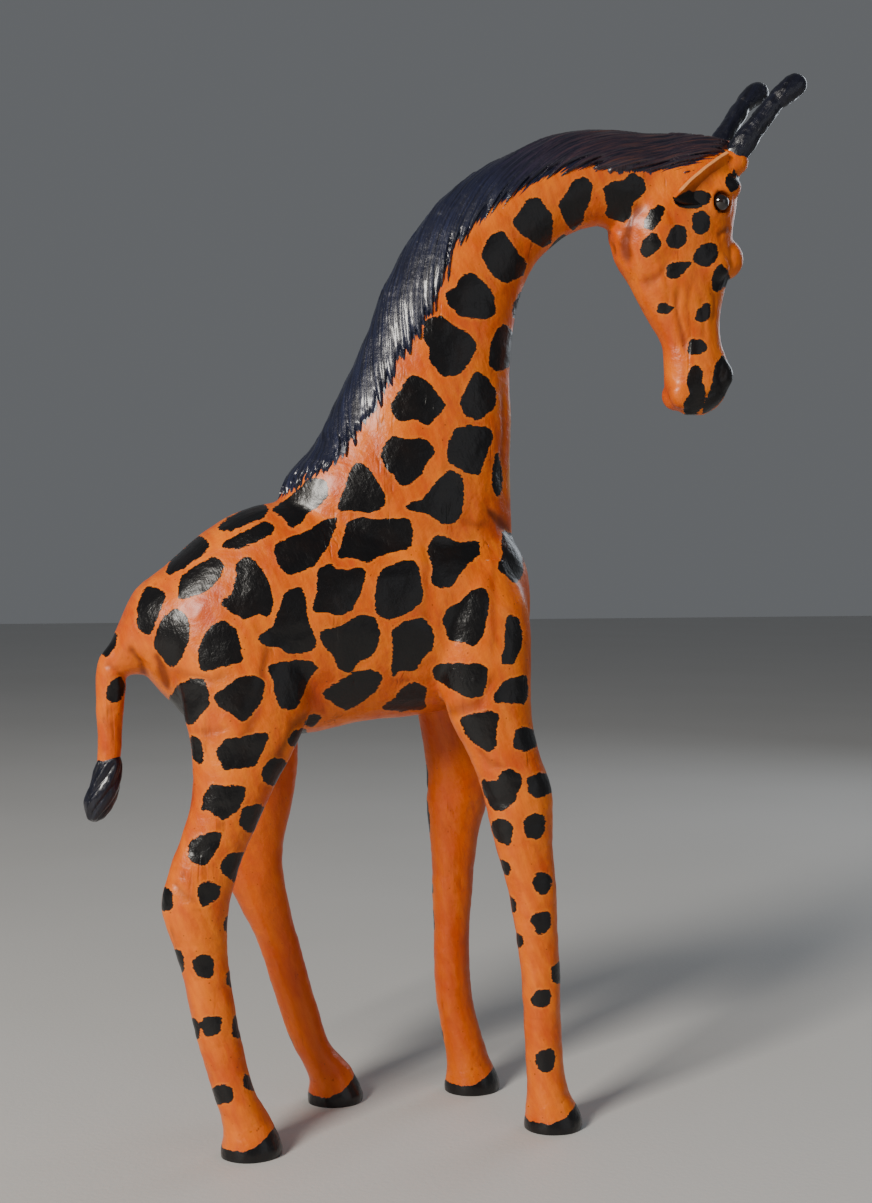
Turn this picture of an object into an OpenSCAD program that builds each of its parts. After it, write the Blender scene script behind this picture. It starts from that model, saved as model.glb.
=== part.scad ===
// Standing giraffe figure: carved softwood pieces, dowelled together and covered with painted leather.
// Millimetres, +Z up, head towards +X, the animal's right side towards -Y.
// The origin is on the ground under the middle of the figure's box.

/* [Leather] */
// Thickness of the leather skin with its paste
hide_t = 1.5; // [1.2:0.1:1.8]
// Thickness of the ear leather
ear_t = 2; // [1.6:0.1:2.4]
// Height of the mane above the skin of the neck
mane_t = 2; // [1:0.25:3]

/* [Dowels] */
// Diameter of the dowel that joins the neck to the torso
neck_dowel_d = 12; // [10:1:14]
// Diameter of the dowel that joins the head to the neck
head_dowel_d = 8; // [6:1:9]
// Diameter of the dowels that join the legs to the torso
leg_dowel_d = 8; // [6:1:9]
// Diameter of the steel pins in the hooves and the horns
pin_d = 2.5; // [2:0.5:3]
// Diameter of the wire in the tail
tail_wire_d = 3; // [2:0.5:3.5]

/* [Face] */
// Diameter of the glass eyes
eye_d = 8.5; // [8:0.25:9]
// Length of the ears
ear_l = 33; // [30:1:36]
// Width of the ears at their widest
ear_w = 14; // [12:1:17]

/* [Hidden] */
$fn = 48;

// Sides of each lofted form
torso_sides = 22;
neck_sides = 20;
leg_sides = 14;
small_sides = 12;

// Colours of the paint and of the bare materials
orange_paint = [0.93, 0.42, 0.06];
black_paint = [0.09, 0.08, 0.09];
softwood = [0.80, 0.62, 0.40];
steel = [0.62, 0.63, 0.65];

// Heights are measured from a datum this far above the ground
datum_z = 2.5;

// A station is one cross-section: [x, y, z, lean, half depth, half width].
// The depth lies in the XZ plane, turned up from +X by lean, and the width lies along Y.

// Torso, from the chest back to the rump
torso = [
    [30, 0, 224, 90, 8, 6],
    [27, 0, 224, 90, 22, 16],
    [20, 0, 223, 90, 33, 23],
    [8, 0, 222, 90, 40, 28],
    [-12, 0, 222, 90, 46, 31],
    [-40, 0, 221, 90, 48, 33],
    [-68, 0, 219, 90, 50, 34],
    [-92, 0, 216, 90, 50, 34],
    [-113, 0, 212, 90, 43, 32],
    [-130, 0, 213, 90, 28, 25],
    [-142, 0, 214, 90, 16, 16],
    [-150, 0, 206, 90, 8.5, 9]
];
// Neck, from inside the withers up and over to inside the head
neck = [
    [-30, 0, 250, -12, 56, 27],
    [-27, 0, 268, -12, 51, 27],
    [-21, 0, 285, -11, 44, 25],
    [-15, 0, 309, -11, 38, 22],
    [-10, 0, 332, -13, 33, 19.5],
    [-4, 0, 355, -20, 29.5, 18],
    [6, 0, 377, -30, 26, 16.5],
    [18, 0, 392, -43, 23.5, 15.5],
    [33, 0, 403, -60, 21.5, 15],
    [50, 0, 411, -77, 21, 15],
    [67, 0, 414, -92, 21, 15],
    [84, 0, 413, -96, 20, 14],
    [98, 0, 411, -96, 13, 10]
];
// Head, from the lips up to the poll
head = [
    [111, 0, 310, 0, 6, 4],
    [112, 0, 314, 0, 11.5, 8],
    [112.5, 0, 322, 0, 15.5, 10],
    [112, 0, 331, 0, 15.5, 9.5],
    [109, 0, 342, 0, 14.5, 9.5],
    [106, 0, 354, 0, 18, 11],
    [104, 0, 366, 0, 22, 13],
    [102, 0, 378, 0, 29, 15.5],
    [99, 0, 391, 0, 30, 17],
    [101, 0, 404, 0, 29.5, 17.5],
    [103, 0, 417, 0, 29, 16],
    [107, 0, 427, 0, 28, 13],
    [110, 0, 434, 0, 21, 8]
];

// Legs, from the top of the hoof up to inside the torso
front_right_leg = [
    [31, -30, 10, 14, 10, 9.5],
    [30.5, -30, 16, 8, 9, 9],
    [29.5, -30, 26, 0, 8.5, 8],
    [28, -30, 50, 0, 8, 7.5],
    [26.5, -29.5, 76, 0, 9, 8],
    [24, -29, 100, 0, 10.5, 8.5],
    [20.5, -28.5, 120, 0, 12.5, 9.5],
    [19, -28, 133, 0, 14, 10.5],
    [17, -27, 145, 0, 15.5, 11],
    [11.5, -26, 160, 0, 15.5, 11.5],
    [6, -24, 178, 0, 18.5, 13],
    [4, -22, 200, 0, 21, 14],
    [4, -20, 225, 0, 20, 13],
    [3, -18, 243, 0, 14, 9]
];
front_left_leg = [
    [12, 30, 10, 14, 10, 9.5],
    [11, 30, 16, 8, 9, 9],
    [8.5, 30, 26, 0, 8.8, 8],
    [4.5, 30, 50, 0, 8.2, 7.5],
    [4, 29.5, 76, 0, 8.8, 8],
    [4.5, 29, 100, 0, 10, 8.5],
    [5, 28.5, 118, 0, 12, 9.5],
    [6, 28, 131, 0, 14, 10.5],
    [7, 27, 145, 0, 15.5, 11],
    [6, 26, 160, 0, 16, 11.5],
    [4.5, 24, 178, 0, 18.5, 13],
    [4, 22, 200, 0, 21, 14],
    [4, 20, 225, 0, 20, 13],
    [3, 18, 243, 0, 14, 9]
];
hind_right_leg = [
    [-100, -30, 10, 14, 10, 9.5],
    [-102, -30, 16, 8, 9.2, 9],
    [-106, -30, 26, 0, 8.7, 8],
    [-112.5, -30, 50, 0, 9, 7.5],
    [-116, -29.5, 70, 0, 9.6, 7.8],
    [-119, -29, 86, 0, 11.2, 8.5],
    [-121, -28.5, 101, 0, 14, 9.5],
    [-117.5, -28, 115, 0, 14.3, 9.5],
    [-110.5, -27, 133, 0, 14.8, 10.5],
    [-104.5, -26, 149, 0, 17, 12],
    [-100, -24.5, 165, 0, 21.5, 13.5],
    [-98.5, -23, 182, 0, 27, 14.5],
    [-100, -21, 205, 0, 29, 15],
    [-102, -19, 226, 0, 25, 13],
    [-103, -17, 240, 0, 14, 8]
];
hind_left_leg = [
    [-53, 30, 10, 14, 10, 9.5],
    [-56.5, 30, 16, 8, 9, 9],
    [-62.5, 30, 26, 0, 8.6, 8],
    [-70.5, 30, 50, 0, 8.9, 7.5],
    [-76, 29.5, 70, 0, 9.2, 7.8],
    [-82.5, 29, 87, 0, 10.9, 8.5],
    [-87, 28.5, 101, 0, 12.7, 9.5],
    [-87.5, 28, 116, 0, 13.2, 9.5],
    [-85.5, 27, 133, 0, 14.2, 10.5],
    [-86.5, 26, 149, 0, 17.5, 12],
    [-90.5, 24.5, 165, 0, 22, 13.5],
    [-95, 23, 182, 0, 27, 14.5],
    [-99, 21, 205, 0, 29, 15],
    [-102, 19, 226, 0, 25, 13],
    [-103, 17, 240, 0, 14, 8]
];

// Tail, from inside the rump down to its tuft
tail = [
    [-136, 0, 203, 90, 8.5, 8.5],
    [-146, 0, 203, 90, 8, 8],
    [-151, 0, 199, 130, 7.5, 7],
    [-152.7, 0, 190, 172, 6.5, 6.2],
    [-153, 0, 178, 180, 5.6, 5.4],
    [-153, 0, 166, 184, 5.2, 5],
    [-153.5, 0, 158, 188, 5, 5]
];
tuft = [
    [-153.5, 0, 158, 188, 5, 5],
    [-154.5, 0, 152, 196, 6.4, 5.8],
    [-156, 0, 146, 196, 7.4, 6.6],
    [-157.4, 0, 141, 186, 6.4, 6],
    [-158.4, 0, 136.5, 182, 4.4, 4],
    [-159, 0, 133, 180, 1.5, 1.5]
];
// The tail's wire: straight out of the rump, round one bend and straight down
wire_x = -153;
wire_z = 203;
wire_bend = 8;
wire_in = 30;
wire_end_z = 143;

// Horns, from inside the head up to the knob
right_horn_path = [
    [123, -8, 421.5, -40, 4.6, 4.6],
    [130.2, -9, 431, -40, 4.4, 4.2],
    [137.2, -9.6, 440.5, -40, 3.8, 3.8],
    [144.5, -10.5, 450.4, -40, 4.2, 4.2],
    [149.9, -11.3, 455.8, -42, 5.6, 5.3],
    [154.4, -12, 459.8, -45, 5.6, 5.3],
    [158, -12.6, 462.8, -45, 3.4, 3.2]
];
left_horn_path = [
    [121, 8, 427.5, -36, 4.6, 4.6],
    [128.4, 9, 438, -36, 4.4, 4.2],
    [135.2, 9.6, 448.4, -36, 3.8, 3.8],
    [141.2, 10.5, 456.6, -40, 4.2, 4.2],
    [145, 11.2, 460.6, -50, 5.4, 5.2],
    [149.4, 12, 463.4, -58, 5.4, 5.2],
    [153.2, 12.6, 465.2, -60, 3.2, 3.2]
];
eye_at = [117.5, 12.6, 404];

// Ears: upper end of the root, and the directions of the length and the width, for the animal's left side
ear_root = [119.5, 14.5, 427.5];
ear_along = [-0.793, 0.229, -0.564];
ear_across = [-0.50, 0.33, 0.80];
ear_cup = 2;
ear_bow = 1.5;
ear_steps = 8;
ear_rows = 4;

// Ends of each dowel
neck_dowel_ends = [[-30, 0, 225], [-16, 0, 300]];
head_dowel_ends = [[62, 0, 414], [104, 0, 405]];
leg_dowel_ends = [
    [[14, -26, 152], [4, -11, 212]],
    [[6.5, 26, 152], [4, 11, 212]],
    [[-104, -26, 150], [-98, -12, 205]],
    [[-87, 26, 150], [-96, 12, 205]]
];

// Hooves: the toe runs forward of the leg and the sole is flat
toe_run = 2;
sole_bevel_z = 1.5;
sole_half_l = 13;
sole_half_w = 12;
sole_inset = 0.8;

// ---- Lofting ----
function ring(s, grow, sides) = [
    for (k = [0:sides - 1])
        let (turn = 360 * k / sides, depth = (s[4] + grow) * cos(turn), width = (s[5] + grow) * sin(turn))
        [s[0] + depth * cos(s[3]), s[1] + width, s[2] + depth * sin(s[3])]
];
function rings(stations, grow, sides) = [for (s = stations, p = ring(s, grow, sides)) p];
// Quads between one ring and the next, facing outwards
function wall(count, sides, start = 0) = [
    for (i = [0:count - 2], k = [0:sides - 1])
        let (a = start + i * sides + k, b = start + i * sides + (k + 1) % sides)
        [a + sides, b + sides, b, a]
];
function turned(faces) = [for (f = faces) [for (k = [len(f) - 1:-1:0]) f[k]]];
function cap(start, sides) = [[for (k = [0:sides - 1]) start + k]];
// Quads between the outer and the inner ring at one end of a sleeve
function rim(outer, inner, sides) = [
    for (k = [0:sides - 1])
        let (j = (k + 1) % sides)
        [outer + k, outer + j, inner + j, inner + k]
];

module loft(stations, grow, sides) {
    last = (len(stations) - 1) * sides;
    polyhedron(
        points = rings(stations, grow, sides),
        faces = concat(wall(len(stations), sides), cap(0, sides), turned(cap(last, sides))),
        convexity = 8
    );
}

// A sleeve of leather over the loft of the stations, open at both ends
module sleeve(stations, sides) {
    count = len(stations);
    inner = count * sides;
    last = (count - 1) * sides;
    polyhedron(
        points = concat(rings(stations, 0, sides), rings(stations, -hide_t, sides)),
        faces = concat(
            wall(count, sides),
            turned(wall(count, sides, inner)),
            rim(0, inner, sides),
            turned(rim(last, inner + last, sides))
        ),
        convexity = 8
    );
}

module torso_form(grow = 0) loft(torso, grow, torso_sides);
module neck_form(grow = 0) loft(neck, grow, neck_sides);
module head_form(grow = 0) loft(head, grow, neck_sides);
module leg_form(leg, grow = 0) loft(leg, grow, leg_sides);

// A round rod between two points
module rod(ends, d) {
    run = ends[1] - ends[0];
    translate(ends[0])
        rotate([0, acos(run[2] / norm(run)), atan2(run[1], run[0])])
            cylinder(h = norm(run), d = d);
}
function at(s) = [s[0], s[1], s[2]];
function horn_pin_ends(path) = [at(path[0]), at(path[3])];
function hoof_pin_ends(leg) = [[leg[0][0], leg[0][1], 3], at(leg[2])];

// ---- Wooden core ----
module torso_core() {
    color(softwood) difference() {
        torso_form(-hide_t);
        rod(neck_dowel_ends, neck_dowel_d);
        for (ends = leg_dowel_ends) rod(ends, leg_dowel_d);
        wire_form();
    }
}
module neck_core() {
    color(softwood) difference() {
        neck_form(-hide_t);
        torso_form(-hide_t);
        head_form(-hide_t);
        rod(neck_dowel_ends, neck_dowel_d);
        rod(head_dowel_ends, head_dowel_d);
    }
}
module head_core() {
    color(softwood) difference() {
        head_form(-hide_t);
        rod(head_dowel_ends, head_dowel_d);
        rod(horn_pin_ends(right_horn_path), pin_d);
        rod(horn_pin_ends(left_horn_path), pin_d);
        for (side = [-1, 1]) eye_form(side);
    }
}
module leg_core(leg, dowel_ends) {
    color(softwood) difference() {
        leg_form(leg, -hide_t);
        torso_form(-hide_t);
        rod(dowel_ends, leg_dowel_d);
        rod(hoof_pin_ends(leg), pin_d);
    }
}

// ---- Dowels, pins and wire ----
module neck_dowel() {
    color(softwood) rod(neck_dowel_ends, neck_dowel_d);
}
module head_dowel() {
    color(softwood) rod(head_dowel_ends, head_dowel_d);
}
module leg_dowels() {
    color(softwood) for (ends = leg_dowel_ends) rod(ends, leg_dowel_d);
}
module hoof_pins() {
    color(steel)
        for (leg = [front_right_leg, front_left_leg, hind_right_leg, hind_left_leg])
            rod(hoof_pin_ends(leg), pin_d);
}
module horn_pins() {
    color(steel)
        for (path = [right_horn_path, left_horn_path])
            rod(horn_pin_ends(path), pin_d);
}
module wire_form() {
    bend_x = wire_x + wire_bend;
    translate([bend_x, 0, wire_z]) rotate([0, 90, 0]) cylinder(h = wire_in, d = tail_wire_d);
    translate([bend_x, 0, wire_z - wire_bend])
        rotate([90, 0, 0])
            rotate([0, 0, 90])
                rotate_extrude(angle = 90)
                    translate([wire_bend, 0]) circle(d = tail_wire_d);
    translate([wire_x, 0, wire_end_z]) cylinder(h = wire_z - wire_bend - wire_end_z, d = tail_wire_d);
}
module tail_wire() {
    color(steel) wire_form();
}

// ---- Leather skin ----
module torso_hide() {
    color(orange_paint) difference() {
        torso_form();
        torso_form(-hide_t);
        neck_form();
        for (leg = [front_right_leg, front_left_leg, hind_right_leg, hind_left_leg]) leg_form(leg);
        tail_form();
    }
}
module neck_hide() {
    color(orange_paint) difference() {
        sleeve(neck, neck_sides);
        torso_form(-hide_t);
        head_form(-hide_t);
    }
}
module head_hide() {
    color(orange_paint) difference() {
        head_form();
        head_form(-hide_t);
        neck_form();
        rod(horn_pin_ends(right_horn_path), pin_d);
        rod(horn_pin_ends(left_horn_path), pin_d);
        for (side = [-1, 1]) eye_form(side);
    }
}
module leg_hide(leg) {
    color(orange_paint) difference() {
        sleeve(leg, leg_sides);
        torso_form(-hide_t);
    }
}
module tail_form() {
    loft(tail, 0, small_sides);
}
module tail_hide() {
    color(orange_paint) difference() {
        tail_form();
        torso_form(-hide_t);
        wire_form();
    }
}
module tail_tuft() {
    color(black_paint) difference() {
        loft(tuft, 0, small_sides);
        wire_form();
    }
}

// The mane lies along the back of the neck and over the poll
mane_half_h = 6;
mane_width_share = 0.64;
mane_end = [112, 0, 431.5, -90, 4.5, 7];
function mane_station(s) =
    let (back = s[4] + mane_t - mane_half_h)
    [s[0] - back * cos(s[3]), 0, s[2] - back * sin(s[3]), s[3], mane_half_h, s[5] * mane_width_share];
module mane() {
    stations = concat([for (i = [1:len(neck) - 2]) mane_station(neck[i])], [mane_end]);
    color(black_paint) difference() {
        loft(stations, 0, small_sides);
        neck_form();
        head_form();
        torso_form();
    }
}

// ---- Ears, horns, eyes and hooves ----
function ear_width(s) = ear_w * pow(sin(180 * pow(0.08 + 0.90 * s, 0.75)), 0.7);
function ear_point(s, t, lift) =
    let (in = cross(ear_across, ear_along), drop = ear_width(s) * (1 - t) / 2 - ear_bow * sin(180 * s))
    ear_root + ear_along * ear_l * s - ear_across * drop + in * (lift + ear_cup * (1 - t * t));
module ear_form() {
    across = 2 * ear_rows + 1;
    count = (ear_steps + 1) * across;
    grid = [for (i = [0:ear_steps], j = [-ear_rows:ear_rows]) [i / ear_steps, j / ear_rows]];
    quads = [
        for (i = [0:ear_steps - 1], j = [0:across - 2])
            let (a = i * across + j)
            [a, a + 1, a + across + 1, a + across]
    ];
    edge = concat(
        [for (j = [0:across - 1]) j],
        [for (i = [1:ear_steps]) i * across + across - 1],
        [for (j = [across - 2:-1:0]) ear_steps * across + j],
        [for (i = [ear_steps - 1:-1:1]) i * across]
    );
    polyhedron(
        points = concat(
            [for (g = grid) ear_point(g[0], g[1], ear_t / 2)],
            [for (g = grid) ear_point(g[0], g[1], -ear_t / 2)]
        ),
        faces = concat(
            quads,
            turned([for (q = quads) [for (k = q) k + count]]),
            [for (k = [0:len(edge) - 1])
                let (a = edge[k], b = edge[(k + 1) % len(edge)])
                [b, a, a + count, b + count]]
        ),
        convexity = 4
    );
}
function mirrored(path) = [for (s = path) [s[0], -s[1], s[2], s[3], s[4], s[5]]];
module ear(horn_path) {
    color(orange_paint) difference() {
        ear_form();
        head_form();
        loft(horn_path, 0, small_sides);
    }
}
module horn(path) {
    color(black_paint) difference() {
        loft(path, 0, small_sides);
        head_form();
        mane_clear();
        rod(horn_pin_ends(path), pin_d);
    }
}
module mane_clear() {
    loft(concat([mane_station(neck[len(neck) - 2])], [mane_end]), 0, small_sides);
}
module eye_form(side) {
    translate([eye_at[0], side * eye_at[1], eye_at[2]]) sphere(d = eye_d);
}
module eye(side) {
    color(black_paint) eye_form(side);
}
module hoof(leg) {
    top = leg[0];
    x = top[0] + toe_run;
    stations = [
        [x, top[1], -datum_z, 0, sole_half_l - sole_inset, sole_half_w - sole_inset],
        [x, top[1], sole_bevel_z - datum_z, 0, sole_half_l, sole_half_w],
        [top[0] + toe_run / 2, top[1], 4, 5, 11.6, 10.8],
        top
    ];
    color(black_paint) difference() {
        loft(stations, 0, leg_sides);
        rod(hoof_pin_ends(leg), pin_d);
    }
}
module standing() {
    translate([0, 0, datum_z]) children();
}

standing() torso_core();
standing() neck_core();
standing() head_core();
standing() leg_core(front_right_leg, leg_dowel_ends[0]);  // front_right_leg_core
standing() leg_core(front_left_leg, leg_dowel_ends[1]);  // front_left_leg_core
standing() leg_core(hind_right_leg, leg_dowel_ends[2]);  // hind_right_leg_core
standing() leg_core(hind_left_leg, leg_dowel_ends[3]);  // hind_left_leg_core
standing() neck_dowel();
standing() head_dowel();
standing() leg_dowels();
standing() hoof_pins();
standing() horn_pins();
standing() tail_wire();
standing() torso_hide();
standing() neck_hide();
standing() head_hide();
standing() leg_hide(front_right_leg);  // front_right_leg_hide
standing() leg_hide(front_left_leg);  // front_left_leg_hide
standing() leg_hide(hind_right_leg);  // hind_right_leg_hide
standing() leg_hide(hind_left_leg);  // hind_left_leg_hide
standing() tail_hide();
standing() tail_tuft();
standing() mane();
standing() mirror([0, 1, 0]) ear(mirrored(right_horn_path));  // right_ear
standing() ear(left_horn_path);  // left_ear
standing() horn(right_horn_path);  // right_horn
standing() horn(left_horn_path);  // left_horn
standing() eye(-1);  // right_eye
standing() eye(1);  // left_eye
standing() hoof(front_right_leg);  // front_right_hoof
standing() hoof(front_left_leg);  // front_left_hoof
standing() hoof(hind_right_leg);  // hind_right_hoof
standing() hoof(hind_left_leg);  // hind_left_hoof
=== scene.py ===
"""Giraffe figure in painted leather over a carved wooden core."""

import math

import bpy
import numpy as np
from bpy.props import FloatProperty, FloatVectorProperty, PointerProperty
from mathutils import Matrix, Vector, noise
from mathutils.bvhtree import BVHTree


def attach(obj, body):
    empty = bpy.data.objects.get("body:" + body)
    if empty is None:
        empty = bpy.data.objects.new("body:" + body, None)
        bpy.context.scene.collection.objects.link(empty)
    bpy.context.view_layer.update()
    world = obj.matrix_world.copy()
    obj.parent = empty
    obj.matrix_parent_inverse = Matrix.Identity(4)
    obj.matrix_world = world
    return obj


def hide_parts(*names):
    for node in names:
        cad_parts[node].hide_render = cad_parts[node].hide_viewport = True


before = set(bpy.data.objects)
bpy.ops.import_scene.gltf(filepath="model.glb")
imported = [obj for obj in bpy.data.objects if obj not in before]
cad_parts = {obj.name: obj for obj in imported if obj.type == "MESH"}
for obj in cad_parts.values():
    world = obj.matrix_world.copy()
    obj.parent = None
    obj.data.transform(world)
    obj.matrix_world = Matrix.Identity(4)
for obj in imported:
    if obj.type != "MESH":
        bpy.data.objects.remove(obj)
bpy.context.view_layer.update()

bl_info = {
    "name": "Leather Giraffe",
    "version": (1, 0, 0),
    "blender": (4, 5, 0),
    "location": "View3D > Sidebar > Giraffe",
    "description": "Builds a leather-covered giraffe figure round its wooden core",
    "category": "Object",
}

MM = 0.001
# Heights in the layouts below are measured from a datum this far above the ground
LIFT = np.array((0.0, 0.0, 2.5))
BODY = "root"
RIGHT, LEFT = -1, 1

# A station is one cross-section in millimetres: x, y, z, lean, half depth, half width.
# The depth lies in the XZ plane, turned up from +X by lean, and the width lies along Y.
TORSO = (
    (30.5, 0, 225, 90, 2, 2), (29.3, 0, 225, 90, 11, 8), (26.5, 0, 225, 90, 22, 16),
    (20, 0, 223, 90, 33, 23),
    (8, 0, 222, 90, 40, 28), (-12, 0, 222, 90, 46, 31), (-40, 0, 221, 90, 48, 33),
    (-68, 0, 219, 90, 50, 34),
    (-92, 0, 216, 90, 50, 34), (-113, 0, 212, 90, 43, 32), (-130, 0, 213, 90, 27.5, 25),
    (-142, 0, 214.5, 90, 16, 16),
    (-150, 0, 206, 90, 8, 9), (-153, 0, 204, 90, 2, 2),
)
NECK = (
    (-30, 0, 250, -12, 55, 26), (-27, 0, 268, -12, 51, 26), (-21, 0, 285, -11, 44, 24.5),
    (-15, 0, 309, -11, 38, 22),
    (-10, 0, 332, -13, 33, 19.5), (-4, 0, 355, -20, 29.5, 18), (6, 0, 377, -30, 26, 16.5),
    (18, 0, 392, -43, 23.5, 15.5), (33, 0, 403, -60, 21.5, 15), (50, 0, 411, -77, 21, 15),
    (67, 0, 414, -92, 21, 15),
    (84, 0, 414.5, -94, 20.5, 14),
    (98, 0, 415, -92, 19.5, 12), (110, 0, 414, -92, 14, 8),
)
HEAD = (
    (111, 0, 309, 0, 5, 3), (111.5, 0, 312.5, 0, 10.5, 7), (112.3, 0, 321, 0, 15, 9.5),
    (112, 0, 331, 0, 15.5, 9.5),
    (109.5, 0, 341, 0, 14.3, 9), (106.4, 0, 350, 0, 16.6, 9.8), (104.2, 0, 358, 0, 19.3, 11),
    (102.7, 0, 367, 0, 22.8, 12.8),
    (100.6, 0, 378, 0, 28.4, 14.8), (99.5, 0, 391, 0, 29.5, 16), (101, 0, 404, 0, 29.3, 16.5),
    (103, 0, 417, 0, 29, 15.5),
    (107, 0, 427, 0, 27.5, 12.5), (110, 0, 433.5, 0, 20, 8),
)
FRONT_RIGHT_LEG = (
    (31, -30, 10, 14, 10, 9.5), (30.5, -30, 16, 8, 9, 9), (29.5, -30, 26, 0, 8.5, 8),
    (28, -30, 50, 0, 8, 7.5),
    (26.5, -29.5, 76, 0, 9, 8), (24, -29, 100, 0, 10.5, 8.5), (20.5, -28.5, 120, 0, 12.5, 9.5),
    (19, -28, 133, 0, 14, 10.5), (17, -27, 145, 0, 15.5, 11), (11.5, -26, 160, 0, 15.5, 11.5),
    (6, -24, 178, 0, 18.5, 13), (4, -22, 200, 0, 21, 14), (4, -20, 225, 0, 20, 13),
    (3, -18, 243, 0, 12, 7),
)
FRONT_LEFT_LEG = (
    (12, 30, 10, 14, 10, 9.5), (11, 30, 16, 8, 9, 9), (8.5, 30, 26, 0, 8.8, 8),
    (4.5, 30, 50, 0, 8.2, 7.5),
    (4, 29.5, 76, 0, 8.8, 8), (4.5, 29, 100, 0, 10, 8.5), (5, 28.5, 118, 0, 12, 9.5),
    (6, 28, 131, 0, 14, 10.5),
    (7, 27, 145, 0, 15.5, 11), (6, 26, 160, 0, 16, 11.5), (4.5, 24, 178, 0, 18.5, 13),
    (4, 22, 200, 0, 21, 14),
    (4, 20, 225, 0, 20, 13), (3, 18, 243, 0, 12, 7),
)
HIND_RIGHT_LEG = (
    (-100, -30, 10, 14, 10, 9.5), (-102, -30, 16, 8, 9.2, 9), (-106, -30, 26, 0, 8.7, 8),
    (-112.5, -30, 50, 0, 9, 7.5), (-116, -29.5, 70, 0, 9.6, 7.8), (-119, -29, 86, 0, 11.2, 8.5),
    (-121, -28.5, 101, 0, 14, 9.5), (-117.5, -28, 115, 0, 14.3, 9.5), (-110.5, -27, 133, 0, 14.8, 10.5),
    (-104.5, -26, 149, 0, 17, 12), (-100, -24.5, 165, 0, 21.5, 13.5), (-98.5, -23, 182, 0, 27, 14.5),
    (-100, -21, 205, 0, 29, 15), (-102, -19, 226, 0, 25, 13), (-103, -17, 240, 0, 13, 7),
)
HIND_LEFT_LEG = (
    (-53, 30, 10, 14, 10, 9.5), (-56.5, 30, 16, 8, 9, 9), (-62.5, 30, 26, 0, 8.6, 8),
    (-70.5, 30, 50, 0, 8.9, 7.5),
    (-76, 29.5, 70, 0, 9.2, 7.8), (-82.5, 29, 87, 0, 10.9, 8.5), (-87, 28.5, 101, 0, 12.7, 9.5),
    (-87.5, 28, 116, 0, 13.2, 9.5), (-85.5, 27, 133, 0, 14.2, 10.5), (-86.5, 26, 149, 0, 17.5, 12),
    (-90.5, 24.5, 165, 0, 22, 13.5), (-95, 23, 182, 0, 27, 14.5), (-99, 21, 205, 0, 29, 15),
    (-102, 19, 226, 0, 25, 13), (-103, 17, 240, 0, 13, 7),
)
TAIL = (
    (-132, 0, 203, 90, 9, 9), (-142, 0, 204, 90, 9, 9), (-149, 0, 202, 105, 8.5, 8),
    (-152, 0, 197, 140, 7.6, 7),
    (-152.7, 0, 189, 172, 6.5, 6.2), (-153, 0, 178, 180, 5.6, 5.4), (-153, 0, 166, 184, 5.2, 5),
    (-153.5, 0, 158, 188, 5, 5), (-154, 0, 152, 190, 3.5, 3.5),
)
# Soft lumps under the skin: centre and half sizes along X, Y and Z. Each is made on both sides.
LUMPS = (
    ((90, 8, 390), (12, 9, 17)),
    ((113, 8, 376), (12, 6, 8)),
    ((118, 8.5, 412), (12, 6.5, 7)),
    ((126, 1, 381), (8, 7, 9.5)),
    ((121, 3.5, 327), (7.5, 5, 7.5)),
    ((104, 4, 318), (7, 5, 7)),
    ((127, 7, 424), (7.5, 5.5, 6.5)),
)


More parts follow.
